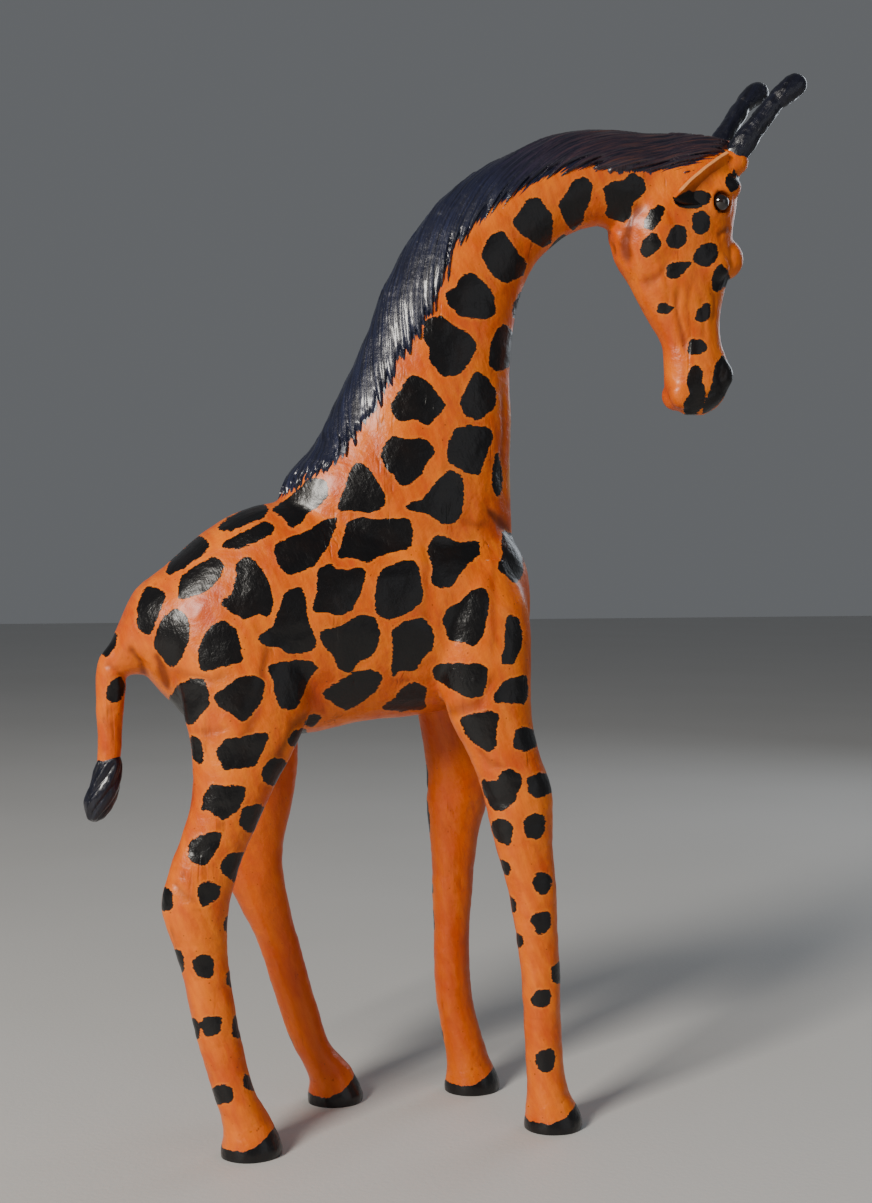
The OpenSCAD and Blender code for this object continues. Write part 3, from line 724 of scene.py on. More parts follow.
def clear_of_core(points, directions):
    """Lift the skin wherever it comes too near the wooden core."""
    lift = np.zeros(len(points))
    for name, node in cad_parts.items():
        if not name.endswith("_core"):
            continue
        tree, spots = tree_of(node), coords(node.data) - LIFT
        near = np.all((points > spots.min(0) - 3) & (points < spots.max(0) + 3), axis=1)
        for row in np.flatnonzero(near):
            place = Vector(points[row] + LIFT) * MM
            found, facing, _, gap = tree.find_nearest(place)
            proud = (place - found).dot(facing) / MM
            agrees = facing.dot(Vector(directions[row])) > 0.5
            if agrees and gap < 2.5 * MM and proud < SKIN_CLEAR:
                lift[row] = max(lift[row], SKIN_CLEAR - proud)
    return points + directions * lift[:, None]


def soften(obj, weights, factor, repeat):
    """Smooth a form, more where its vertices have more weight."""
    group = obj.vertex_groups.new(name="soft")
    for number, weight in enumerate(weights):
        if weight > 0.02:
            group.add([number], float(weight), "REPLACE")
    apply_modifier(obj, "SMOOTH", factor=factor, iterations=repeat, vertex_group="soft")
    obj.vertex_groups.clear()


def nearest_forms(points, trees):
    """Distance in millimetres from each point to each form."""
    found = np.full((len(points), len(trees)), 30.0)
    for row, point in enumerate(points):
        place = Vector(point) * MM
        for column, (tree, low, high) in enumerate(trees):
            if all(low[k] <= point[k] <= high[k] for k in range(3)):
                found[row, column] = tree.find_nearest(place)[3] / MM
    return found


def skin_form():
    """The whole covered figure as one closed form, sculpted and with its paint laid out. Made once."""
    known = bpy.data.objects.get("skin_form")
    if known:
        return known
    parts, trees = [], []
    for name, rows in FORMS.items():
        part = loft(name + "_form", to_ground(rows) if name in LEGS else rows)
        if name == "head":
            swell(part, LUMPS)
        spots = coords(part.data)
        trees.append((tree_of(part), spots.min(0) - 12, spots.max(0) + 12))
        parts.append(part)
    choose(*parts)
    bpy.ops.object.join()
    obj = bpy.context.object
    obj.name = "skin_form"
    apply_modifier(obj, "REMESH", mode="VOXEL", voxel_size=VOXEL)
    apply_modifier(obj, "SMOOTH", factor=0.5, iterations=6)
    points = coords(obj.data)
    gaps = nearest_forms(points, trees)
    second = np.sort(gaps, axis=1)[:, 1]
    soften(obj, ease(9, 2, second), 0.5, 26)
    points, directions = coords(obj.data), normals(obj.data)
    crossings = comb_places(points)
    patch, mane = lay_patches(points, directions), lay_mane(points, directions)
    points, crease_shade, seam = sculpt(points, directions)
    points = clear_of_core(points, directions)
    points[:, 2] = np.maximum(points[:, 2], -LIFT[2])
    move_to(obj.data, points)
    values = {
        "patch": patch, "mane_paint": mane, "hoof_paint": lay_hoof(points), "crease_shade": crease_shade, "seam": seam,
        # Faces low on the figure that turn towards its middle: they take painted shade on the inner sides
        # of the legs.
        "inner": ease(-0.3, 0.5, -directions[:, 1] * np.sign(points[:, 1])) * ease(190, 165, points[:, 2]),
        "comb_across": crossings[0], "comb_along": crossings[1], "owner": gaps.argmin(1),
    }
    for name, numbers in values.items():
        write_value(obj.data, name, numbers)
    return obj


def read_value(mesh, name):
    """Numbers kept per vertex."""
    found = np.empty(len(mesh.vertices), dtype=np.float32)
    mesh.attributes[name].data.foreach_get("value", found)
    return found.astype(float)


def face_means(mesh, numbers):
    """Mean over each face's vertices. The form has only four-sided faces."""
    corners = np.empty(len(mesh.loops), dtype=np.int32)
    mesh.loops.foreach_get("vertex_index", corners)
    return numbers[corners.reshape(-1, 4)].mean(axis=1)


def cut_from_skin(name, keep):
    """A copy of the skin form's chosen faces."""
    source = skin_form()
    choose(source)
    bpy.ops.object.duplicate()
    obj = bpy.context.object
    obj.name = name
    obj.data.name = name
    choose(obj)
    bpy.ops.object.mode_set(mode="EDIT")
    bpy.ops.mesh.select_mode(type="FACE")
    bpy.ops.mesh.select_all(action="DESELECT")
    bpy.ops.object.mode_set(mode="OBJECT")
    obj.data.polygons.foreach_set("select", ~keep)
    bpy.ops.object.mode_set(mode="EDIT")
    bpy.ops.mesh.delete(type="FACE")
    bpy.ops.object.mode_set(mode="OBJECT")
    return obj


def panel_masks():
    """Which of the skin form's faces belong to each piece."""
    mesh = skin_form().data
    corners = np.empty(len(mesh.loops), dtype=np.int32)
    mesh.loops.foreach_get("vertex_index", corners)
    owner = read_value(mesh, "owner").astype(int)[corners.reshape(-1, 4)[:, 0]]
    places = np.stack([face_means(mesh, column) for column in coords(mesh).T], axis=1)
    masks = {}
    for number, name in enumerate(FORMS):
        mine = owner == number
        if name in LEGS:
            x, z = LEGS[name][0][0], LEGS[name][0][2]
            low = places[:, 2] - z < math.tan(math.radians(14)) * (places[:, 0] - x)
            masks[name.replace("leg", "hoof")] = mine & low
            mine = mine & ~low
        masks[name] = mine
    return masks


def smooth_by_angle(obj, degrees=50):
    """Smooth shading with crisp edges past an angle."""
    choose(obj)
    bpy.ops.object.shade_smooth_by_angle(angle=math.radians(degrees))


def hand_over(obj, slot, *nodes):
    """Stand a finished piece on the ground, hang it under the body and hide the model's nodes that it
    replaces. The slot is not used.
    """
    move_to(obj.data, coords(obj.data) + LIFT)
    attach(obj, BODY)
    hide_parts(*nodes)


# ---- Finishes ----
class Value:
    """A value in a material that plain arithmetic works on."""

    def __init__(self, finish, socket):
        self.finish, self.socket = finish, socket

    def _math(self, operation, first, second):
        node = self.finish.node("ShaderNodeMath", {"operation": operation}, {0: first, 1: second})
        return Value(self.finish, node.outputs[0])

    def __add__(self, other):
        return self._math("ADD", self, other)

    __radd__ = __add__

    def __mul__(self, other):
        return self._math("MULTIPLY", self, other)

    __rmul__ = __mul__

    def __sub__(self, other):
        return self._math("SUBTRACT", self, other)

    def __rsub__(self, other):
        return self._math("SUBTRACT", other, self)

    def most(self, other):
        return self._math("MAXIMUM", self, other)


class Finish:
    """A material and the few moves that every finish here is made with."""

    def __init__(self, name):
        self.material = bpy.data.materials.new(name)
        self.material.use_nodes = True
        self.tree = self.material.node_tree
        self.shader = self.tree.nodes["Principled BSDF"]
        self.place = self.node("ShaderNodeTexCoord").outputs["Object"]

    def node(self, kind, settings=None, inputs=None):
        """Add a node, set it up, then fill or link its sockets."""
        node = self.tree.nodes.new(kind)
        for key, value in (settings or {}).items():
            setattr(node, key, value)
        for key, value in (inputs or {}).items():
            self.feed(node.inputs[key], value)
        return node

    def feed(self, socket, value):
        """Link a value to a socket, or set the socket to a plain number or colour."""
        if isinstance(value, Value):
            self.tree.links.new(value.socket, socket)
        elif isinstance(value, bpy.types.NodeSocket):
            self.tree.links.new(value, socket)
        else:
            socket.default_value = value

    def read(self, name):
        """A number kept on the piece's vertices."""
        node = self.node("ShaderNodeAttribute", {"attribute_name": name})
        return Value(self, node.outputs["Fac"])

    def noise(self, scale, detail=3.0, roughness=0.55, place=None):
        """Cloudy noise, about -1 to 1, with features 1/scale metres across."""
        node = self.node(
            "ShaderNodeTexNoise", None,
            {"Vector": place or self.place, "Scale": scale, "Detail": detail, "Roughness": roughness},
        )
        return (Value(self, node.outputs["Fac"]) - 0.5) * 3.0

    def cells(self, scale, place=None):
        """Distance to the nearest of some scattered points, 0 at a point."""
        node = self.node("ShaderNodeTexVoronoi", None, {"Vector": place or self.place, "Scale": scale})
        return Value(self, node.outputs["Distance"])

    def stretched(self, turn, scale):
        """Object coordinates turned about Y by some degrees and then scaled along each axis."""
        turned = self.node(
            "ShaderNodeMapping", None, {"Vector": self.place, "Rotation": (0, math.radians(turn), 0)}
        )
        inputs = {"Vector": turned.outputs[0], "Scale": scale}
        return self.node("ShaderNodeMapping", None, inputs).outputs[0]

    def combed(self, across, along):
        """The mane's own directions: across its strokes and along the neck, scaled per millimetre."""
        inputs = {0: self.read("comb_across") * across, 1: self.read("comb_along") * along}
        return self.node("ShaderNodeCombineXYZ", None, inputs).outputs[0]

    def step(self, value, low, high):
        """0 below low, 1 above high, smooth between."""
        node = self.node(
            "ShaderNodeMapRange", {"interpolation_type": "SMOOTHSTEP"},
            {"Value": value, "From Min": low, "From Max": high},
        )
        return Value(self, node.outputs["Result"])

    def blend(self, share, low, high):
        """A colour between two colours."""
        node = self.node(
            "ShaderNodeMix", {"data_type": "RGBA"},
            {0: share, 6: self.colour(low), 7: self.colour(high)},
        )
        return Value(self, node.outputs[2])

    @staticmethod
    def colour(value):
        return value if isinstance(value, Value) else (*value[:3], 1.0)

    def emboss(self, height, depth, over=None):
        """Surface relief from a height, where depth is in millimetres for a height of 1."""
        inputs = {"Height": height, "Strength": 1.0, "Distance": depth * MM}
        if over is not None:
            inputs["Normal"] = over
        return Value(self, self.node("ShaderNodeBump", None, inputs).outputs["Normal"])

    def done(self, **sockets):
        """Feed the shader's sockets, named with underscores, and give the material."""
        for key, value in sockets.items():
            self.feed(self.shader.inputs[key.replace("_", " ")], value)
        return self.material


def flake(finish, black_mask, scale, amount):
    """Small places where dark paint has flaked off."""
    chips = finish.noise(scale, 4, 0.7) + finish.noise(45, 2) * 0.7
    return black_mask * (1 - finish.step(chips, amount, amount + 0.08))


def fine_wrinkles(finish):
    """Sparse thin lines where the leather was drawn tight, mostly up and down."""
    lines = finish.noise(1, 2, 0.5, finish.stretched(0, (170, 170, 17)))
    some = finish.step(finish.noise(1, 3, 0.6, finish.stretched(0, (90, 90, 40))), 0.1, 0.9)
    return (1 - finish.step(lines.most(0 - lines), 0.03, 0.17)) * some


def orange_paint(finish, crease_shade):
    """Hand-brushed orange: yellow where thick, with red-brown grime, stains and flecks, and red brown as
    painted shade in creases and along fine wrinkles.
    """
    look = bpy.context.scene.giraffe_paint
    cloudy = finish.noise(38, 4)
    brushed = finish.noise(1, 4, 0.6, finish.stretched(-70, (60, 60, 260)))
    share = finish.step(cloudy * 0.75 + brushed * 0.6, -0.8, 1.0)
    base = finish.blend(share, look.deep_orange, look.bright_orange)
    grime = finish.step(finish.noise(90, 5, 0.7), 0.55, 1.3)
    base = finish.blend(grime * 0.40, base, look.red_brown)
    stains = finish.noise(1, 4, 0.65, finish.stretched(0, (200, 200, 30)))
    base = finish.blend(finish.step(stains, 0.2, 1.3) * 0.35, base, look.red_brown)
    # Fine wrinkle lines darkened to red brown: painted shade in the wrinkles.
    base = finish.blend(fine_wrinkles(finish) * 0.65, base, look.red_brown)
    flecks = 1 - finish.step(finish.cells(230), 0.05, 0.10)
    base = finish.blend(flecks * 0.6, base, look.red_brown)
    # Painted shade: red brown laid into creases and folds.
    return finish.blend(crease_shade, base, look.red_brown)


def painted_leather():
    """Orange leather with dark patches, mane strokes and hoof paint, all under one lacquer."""
    look = bpy.context.scene.giraffe_paint
    finish = Finish("painted_leather")
    # Painted shade in folds and creases, which are also made rougher.
    crease_shade = finish.step(finish.read("crease_shade"), 0.0, 1.0)
    orange = orange_paint(finish, crease_shade * 0.75)
    # Painted shade on the inner sides of the legs.
    orange = finish.blend(finish.read("inner") * 0.45, orange, look.inner_leg_shade)
    seam = finish.read("seam")
    orange = finish.blend(finish.step(seam, 0.15, 0.9) * 0.7, orange, look.raw_edge)
    spiky = finish.noise(1, 3, 0.7, finish.stretched(0, (240, 600, 900)))
    ragged = finish.noise(230, 4, 0.65) * 0.75 + spiky * 0.75
    edge = finish.read("patch") + ragged
    halo = finish.step(edge, -1.3, -0.2) * (1 - finish.step(edge, -0.2, 0.1))
    orange = finish.blend(halo * 0.30, orange, look.halo)
    patch = finish.step(edge, -0.12, 0.14)
    strokes = finish.noise(1, 3, 0.6, finish.combed(1.0, 0.05))
    mane_edge = finish.read("mane_paint") + strokes * 3.6 - 0.4
    mane = finish.step(mane_edge, -0.2, 0.25)
    hoof_edge = finish.read("hoof_paint") + finish.noise(230, 4, 0.65) * 1.1
    hoof = finish.step(hoof_edge, -0.1, 0.1)
    patch = flake(finish, patch, 330, 1.55)
    hoof = flake(finish, hoof, 250, 1.5)
    thin = finish.step(finish.noise(55, 4, 0.6), -0.2, 1.5)
    black = finish.blend(thin * 0.55, look.patch_black, look.patch_brown)
    # Raised mane strokes: a painted blue sky reflection over the blue-black.
    blue = finish.blend(finish.step(strokes, -0.6, 1.4), look.mane_black, look.mane_blue_sheen)
    colour = finish.blend(patch, orange, black)
    colour = finish.blend(mane, colour, blue)
    colour = finish.blend(hoof, colour, look.patch_black)
    dark = patch.most(mane).most(hoof)
    grain = finish.noise(1500, 3, 0.6) * 0.20 + finish.noise(420, 4, 0.6) * 0.8
    brush = finish.noise(1, 3, 0.6, finish.stretched(-70, (90, 90, 1100)))
    relief = finish.emboss(dark * 0.9 + halo * 0.25, 0.10)
    relief = finish.emboss(grain + brush * 0.5 * dark, 0.075, relief)
    relief = finish.emboss(finish.noise(75, 4, 0.55), 0.45, relief)
    relief = finish.emboss(0 - fine_wrinkles(finish), 0.30, relief)
    roughness = 0.40 + finish.noise(140, 4) * 0.07 - dark * 0.08 + crease_shade * 0.15
    return finish.done(
        Base_Color=colour, Roughness=roughness, Normal=relief, Coat_Weight=0.14 + dark * 0.10,
        Coat_Roughness=0.2, Specular_IOR_Level=0.36,
    )


def black_leather(name="black_leather", turn=None):
    """Blue-black painted leather with fine combed strokes and worn brown places. Its raised strokes take a
    painted blue sky reflection; on the mane those over the poll turn brown, partly the mane's own brown,
    partly a painted reflection.
    """
    look = bpy.context.scene.giraffe_paint
    finish = Finish(name)
    place = finish.combed(1.1, 0.05) if turn is None else finish.stretched(turn, (1000, 160, 60))
    strokes = finish.noise(1, 4, 0.65, place)
    worn = finish.step(finish.noise(60, 4, 0.6) + strokes * 0.3, 0.5, 1.5)
    tint = 1.0 if turn is None else 0.3
    # Raised strokes: a painted blue sky reflection, weaker on horns and tuft.
    base = finish.blend(finish.step(strokes, -0.8, 1.4) * tint, look.mane_black, look.mane_blue_sheen)
    base = finish.blend(worn * 0.55, base, look.patch_brown)
    if turn is None:
        # Brown on the raised strokes over the poll: partly the mane's brown, partly a painted reflection.
        poll_sheen = finish.step(finish.read("comb_along"), 150, 215) * finish.step(strokes, -0.4, 1.0)
        base = finish.blend(poll_sheen, base, look.poll_brown_and_sheen)
    comb = finish.emboss(strokes, 0.16)
    comb = finish.emboss(finish.noise(500, 4, 0.6), 0.08, comb)
    roughness = 0.32 + finish.noise(220, 3) * 0.08 + worn * 0.15
    return finish.done(
        Base_Color=base, Roughness=roughness, Normal=comb, Coat_Weight=0.5 - worn * 0.2,
        Coat_Roughness=0.16, Specular_IOR_Level=0.4,
    )


def hoof_black():
    """Black hoof paint, chipped to the orange beneath."""
    look = bpy.context.scene.giraffe_paint
    finish = Finish("black_hoof")
    orange = orange_paint(finish, 0.0)
    # Painted shade on the inner sides of the hooves.
    orange = finish.blend(finish.read("inner") * 0.45, orange, look.inner_leg_shade)
    edge = finish.read("hoof_paint") + finish.noise(230, 4, 0.65) * 1.1
    black = finish.step(edge, -0.1, 0.1)
    chips = finish.noise(130, 4, 0.6) + finish.read("chip")
    black = black * (1 - finish.step(chips, 1.25, 1.32))
    worn = finish.step(finish.noise(90, 4), 0.0, 1.6)
    dark = finish.blend(worn * 0.5, look.patch_black, look.patch_brown)
    colour = finish.blend(black, orange, dark)
    relief = finish.emboss(black, 0.10)
    relief = finish.emboss(finish.noise(420, 4, 0.6), 0.09, relief)
    relief = finish.emboss(finish.noise(120, 3, 0.5), 0.30, relief)
    roughness = 0.34 + finish.noise(160, 3) * 0.08
    return finish.done(
        Base_Color=colour, Roughness=roughness, Normal=relief, Coat_Weight=0.15 + black * 0.2,
        Coat_Roughness=0.18, Specular_IOR_Level=0.36,
    )


def ear_leather():
    """Ear leather: orange outside, darkened in its cupped inside as painted shade, with a black dab low
    near the tip, partly a painted patch and partly painted shade, and pale along its upper cut edge, as
    raw leather and as a painted highlight.
    """
    look = bpy.context.scene.giraffe_paint
    finish = Finish("ear_leather")
    hollow_shade = finish.read("hollow_shade")
    # Painted shade: the cupped inside darkened towards red brown.
    orange = orange_paint(finish, hollow_shade * 0.55)
    # Black dab low near the tip: partly a painted patch, partly painted shade of the cupped inside.
    dab = finish.step(finish.read("patch") + finish.noise(300, 3) * 0.3, -0.15, 0.15)
    colour = finish.blend(dab, orange, look.patch_black)
    # Pale upper edge: the raw cut leather, and a painted highlight where the edge catches the light.
    cut = finish.step(finish.read("cut") + finish.noise(500, 3) * 0.15, 0.35, 0.75)
    colour = finish.blend(cut * 0.55, colour, look.raw_edge)
    relief = finish.emboss(finish.noise(500, 4, 0.6), 0.09)
    relief = finish.emboss(finish.noise(120, 3, 0.5), 0.30, relief)
    roughness = 0.42 + finish.noise(160, 3) * 0.08 + cut * 0.2
    return finish.done(
        Base_Color=colour, Roughness=roughness, Normal=relief, Coat_Weight=0.16 - cut * 0.1,
        Coat_Roughness=0.25, Specular_IOR_Level=0.3,
    )


def eye_glass():
    """Dark glass bead with a brown depth to it."""
    finish = Finish("eye_glass")
    swirl = finish.step(finish.noise(260, 3), -0.4, 1.4)
    colour = finish.blend(swirl, (0.006, 0.004, 0.004), (0.030, 0.014, 0.008))
    return finish.done(
        Base_Color=colour, Roughness=0.06 + finish.step(finish.noise(700, 2), 0.6, 1.4) * 0.15,
        Coat_Weight=1.0, Coat_Roughness=0.03, Specular_IOR_Level=0.6,
    )


def bare_wood(name, light, dark, turn):
    """Knife-cut wood with its grain along one direction."""
    finish = Finish(name)
    rings = finish.noise(1, 4, 0.6, finish.stretched(turn, (30, 420, 420)))
    pores = finish.noise(1, 2, 0.7, finish.stretched(turn, (160, 2600, 2600)))
    colour = finish.blend(finish.step(rings, -1.1, 1.2), light, dark)
    colour = finish.blend(finish.step(pores, 0.7, 1.4) * 0.5, colour, dark)
    cuts = finish.emboss(finish.noise(60, 2, 0.4), 0.5)
    relief = finish.emboss(pores + rings, 0.07, cuts)
    return finish.done(Base_Color=colour, Roughness=0.66 + pores * 0.05, Normal=relief)


def steel_wire():
    """Drawn steel with a thin dull film."""
    finish = Finish("steel_wire")
    film = finish.step(finish.noise(180, 4, 0.6), -0.6, 1.2)
    lines = finish.noise(1, 2, 0.5, finish.stretched(0, (1800, 1800, 90)))
    colour = finish.blend(film, (0.56, 0.57, 0.60), (0.30, 0.27, 0.24))
    return finish.done(
        Base_Color=colour, Metallic=1.0 - film * 0.3, Roughness=0.30 + film * 0.25,
        Normal=finish.emboss(lines, 0.02),
    )


# ---- Sizes and paint ----
def colour_setting(name, description, default):
    """A colour that a user can change."""
    return FloatVectorProperty(
        name=name, description=description, subtype="COLOR", size=3, min=0, max=1, default=default
    )


def length_setting(name, description, default):
    """A length that a user can change."""
    return FloatProperty(
        name=name, description=description, default=default, min=0, subtype="DISTANCE", unit="LENGTH"
    )


class GiraffeSizes(bpy.types.PropertyGroup):
    """Sizes of the leather work."""

    hide_thickness: length_setting("Hide Thickness", "Thickness of the leather skin", 1.4 * MM)
    mane_height: length_setting("Mane Height", "Height of the mane above the skin", 1.1 * MM)
    ear_thickness: length_setting("Ear Thickness", "Thickness of the ear leather", 1.6 * MM)
    eye_diameter: length_setting("Eye Diameter", "Diameter of the glass beads", 8.5 * MM)
    fold_depth: FloatProperty(
        name="Fold Depth", description="How deep the folds are pressed", default=1.0, min=0, max=2
    )


class GiraffePaint(bpy.types.PropertyGroup):
    """Colours of the paint."""

    bright_orange: colour_setting("Bright Orange", "Orange where the paint lies thick", (0.95, 0.215, 0.0))
    deep_orange: colour_setting("Deep Orange", "Orange where the paint is thin", (0.60, 0.068, 0.0))
    # Red brown is grime, stains and flecks, and also painted shade in creases and wrinkles.
    red_brown: colour_setting("Red Brown", "Paint gathered in creases", (0.10, 0.012, 0.001))
    # Deep red is painted shade on the inner sides of the legs.
    inner_leg_shade: colour_setting("Deep Red", "Orange on the inner sides of the legs", (0.42, 0.042, 0.0))
    raw_edge: colour_setting("Raw Edge", "Cut edge of the leather", (0.78, 0.42, 0.16))
    halo: colour_setting("Halo", "Paint worn thin round a patch", (0.92, 0.27, 0.01))
    patch_black: colour_setting("Patch Black", "Black of the patches and hooves", (0.003, 0.0025, 0.003))
    patch_brown: colour_setting("Patch Brown", "Black worn thin to brown", (0.020, 0.008, 0.004))
    # Brown of the raised strokes over the poll: partly the mane's own brown, partly a painted reflection.
    poll_brown_and_sheen: colour_setting("Rubbed Brown", "Mane rubbed brown over the poll", (0.11, 0.036, 0.010))
    mane_black: colour_setting("Mane Black", "Black of the mane", (0.003, 0.003, 0.008))
    # Mane blue is a painted blue sky reflection on the raised strokes.
    mane_blue_sheen: colour_setting("Mane Blue", "Blue of the mane's raised strokes", (0.022, 0.028, 0.078))


# ---- Pieces ----
class GIRAFFE_OT_skin(bpy.types.Operator):
    """Form, paint and cut the leather skin's panels and the tail"""

    bl_idname = "giraffe.skin"
    bl_label = "Skin"

    def execute(self, context):
        thickness = context.scene.giraffe_sizes.hide_thickness
        finish = painted_leather()
        for name, mask in panel_masks().items():
            if "hoof" in name:
                continue
            panel = cut_from_skin(name + "_leather", mask)
            apply_modifier(panel, "SOLIDIFY", thickness=thickness, offset=-1, use_rim=True)
            panel.data.materials.clear()
            panel.data.materials.append(finish)
            smooth_by_angle(panel)
            hand_over(panel, "orange_leather", name + "_hide")
        return {"FINISHED"}


class GIRAFFE_OT_hooves(bpy.types.Operator):
    """Cut the four hooves from the form and close them above"""

    bl_idname = "giraffe.hooves"
    bl_label = "Hooves"

    def execute(self, context):
        finish = hoof_black()
        for name, mask in panel_masks().items():
            if "hoof" not in name:
                continue
            hoof = cut_from_skin(name + "_black", mask)
            bpy.ops.object.mode_set(mode="EDIT")
            bpy.ops.mesh.select_all(action="SELECT")
            bpy.ops.mesh.fill_holes(sides=0)
            bpy.ops.mesh.normals_make_consistent(inside=False)
            bpy.ops.object.mode_set(mode="OBJECT")
            points = coords(hoof.data)
            write_value(hoof.data, "chip", 0.5 * ease(7, 1, points[:, 2]))
            hoof.data.materials.clear()
            hoof.data.materials.append(finish)
            smooth_by_angle(hoof)
            hand_over(hoof, "black_hoof", name)
        return {"FINISHED"}


class GIRAFFE_OT_mane(bpy.types.Operator):
    """Raise the combed mane on the back of the neck"""

    bl_idname = "giraffe.mane"
    bl_label = "Mane"

    def execute(self, context):
        height = context.scene.giraffe_sizes.mane_height / MM
        form = skin_form()
        mask = face_means(form.data, read_value(form.data, "mane_paint")) > -2.2
        mane = cut_from_skin("mane_leather", mask)
        bpy.ops.object.mode_set(mode="EDIT")
        bpy.ops.mesh.select_all(action="SELECT")
        bpy.ops.mesh.subdivide(number_cuts=1, smoothness=0)
        bpy.ops.object.mode_set(mode="OBJECT")
        points, directions = coords(mane.data), normals(mane.data)
        edge = read_value(mane.data, "mane_paint")
        across, along = read_value(mane.data, "comb_across"), read_value(mane.data, "comb_along")
        strand = np.stack((across, along * 0.045, np.sign(points[:, 1]) * 40), axis=1)
        tufts = cloud(strand, 1.5, 12) + 0.5 * cloud(strand, 0.8, 13)
        locks = cloud(strand * (1, 0.6, 1), 4.5, 14)
        rise = ease(-1.0, 3.0, edge + tufts * 3.4)
        relief = -0.55 + (height + 0.55) * rise + rise * (0.26 * tufts + 0.30 * locks)
        move_to(mane.data, points + directions * relief[:, None])
        apply_modifier(mane, "SOLIDIFY", thickness=0.5 * MM, offset=-1, use_rim=True)
        mane.data.materials.clear()
        mane.data.materials.append(black_leather())
        smooth_by_angle(mane, 70)
        hand_over(mane, "black_leather", "mane")
        return {"FINISHED"}


HORN_PATHS = {
    "right_horn": (
        (121, -5.5, 419, -40, 5.0, 4.8), (125, -6.8, 424.5, -40, 5.3, 5.0),
        (130.2, -8.2, 431, -40, 5.2, 4.9),
        (137.2, -9.4, 440.5, -40, 4.9, 4.6), (144.4, -10.5, 449.5, -40, 5.0, 4.7),
        (149.1, -11.2, 454.4, -42, 5.5, 5.2),
        (152.8, -11.8, 457.8, -44, 5.6, 5.2), (156.2, -12.3, 460.7, -45, 4.5, 4.2),
        (158.0, -12.6, 462.2, -45, 2.5, 2.4),
        (158.6, -12.7, 462.7, -45, 0.5, 0.5),
    ),
    "left_horn": (
        (117, 5.5, 422, -36, 5.0, 4.8), (122, 7, 429, -36, 5.2, 4.9), (128.4, 8.6, 438, -36, 5.0, 4.7),
        (135.2, 9.6, 448.4, -36, 4.6, 4.4), (140.6, 10.5, 455.4, -40, 4.5, 4.3),
        (143.8, 11.1, 458.8, -50, 4.8, 4.6),
        (147.2, 11.8, 461.2, -58, 5.0, 4.8), (150.2, 12.3, 462.7, -60, 4.2, 4.0),
        (152.0, 12.6, 463.6, -60, 2.4, 2.3),
        (152.5, 12.7, 463.8, -60, 0.5, 0.5),
    ),
}


class GIRAFFE_OT_horns(bpy.types.Operator):
    """Build the two knobbed horns"""

    bl_idname = "giraffe.horns"
    bl_label = "Horns"

    def execute(self, context):
        finish = black_leather("horn_black", -35.0)
        for number, (name, path) in enumerate(HORN_PATHS.items()):
            horn = loft(name + "_black", path, sides=28, gap=1.1)
            apply_modifier(horn, "SUBSURF", levels=1, render_levels=1)
            points, directions = coords(horn.data), normals(horn.data)
            heart = np.array(fair(path, 1.0))[:, :3]
            distance, share = line_distance(points, heart)
            middle = np.interp(share, np.linspace(0, 1, len(heart)), heart[:, 1])
            around = np.arctan2(points[:, 1] - middle, distance + 1)
            ridge = np.sin(around * 2.5 + share * 7 + number) * 0.28 * ease(0.98, 0.8, share)
            neck_mark = -0.55 * np.exp(-(((share - 0.70) / 0.035) ** 2))
            rough = cloud(points, 6, 20 + number) * 0.35 + cloud(points, 2.2, 22 + number) * 0.16
            move_to(horn.data, points + directions * (ridge + neck_mark + rough)[:, None])
            horn.data.materials.clear()
            horn.data.materials.append(finish)
            smooth_by_angle(horn, 80)
            hand_over(horn, "black_leather", name)
        return {"FINISHED"}


# The ear's upper edge starts at its root; the leaf hangs below that edge
EAR_ROOT = np.array((121.0, 14.0, 426.5))
EAR_ALONG = np.array((-0.767, 0.192, -0.612))
EAR_ACROSS = np.array((-0.53, 0.34, 0.777))
EAR_LENGTH = 38.0
EAR_WIDTH = 17.0
EAR_CUP = 2.0
EAR_BOW = 1.5


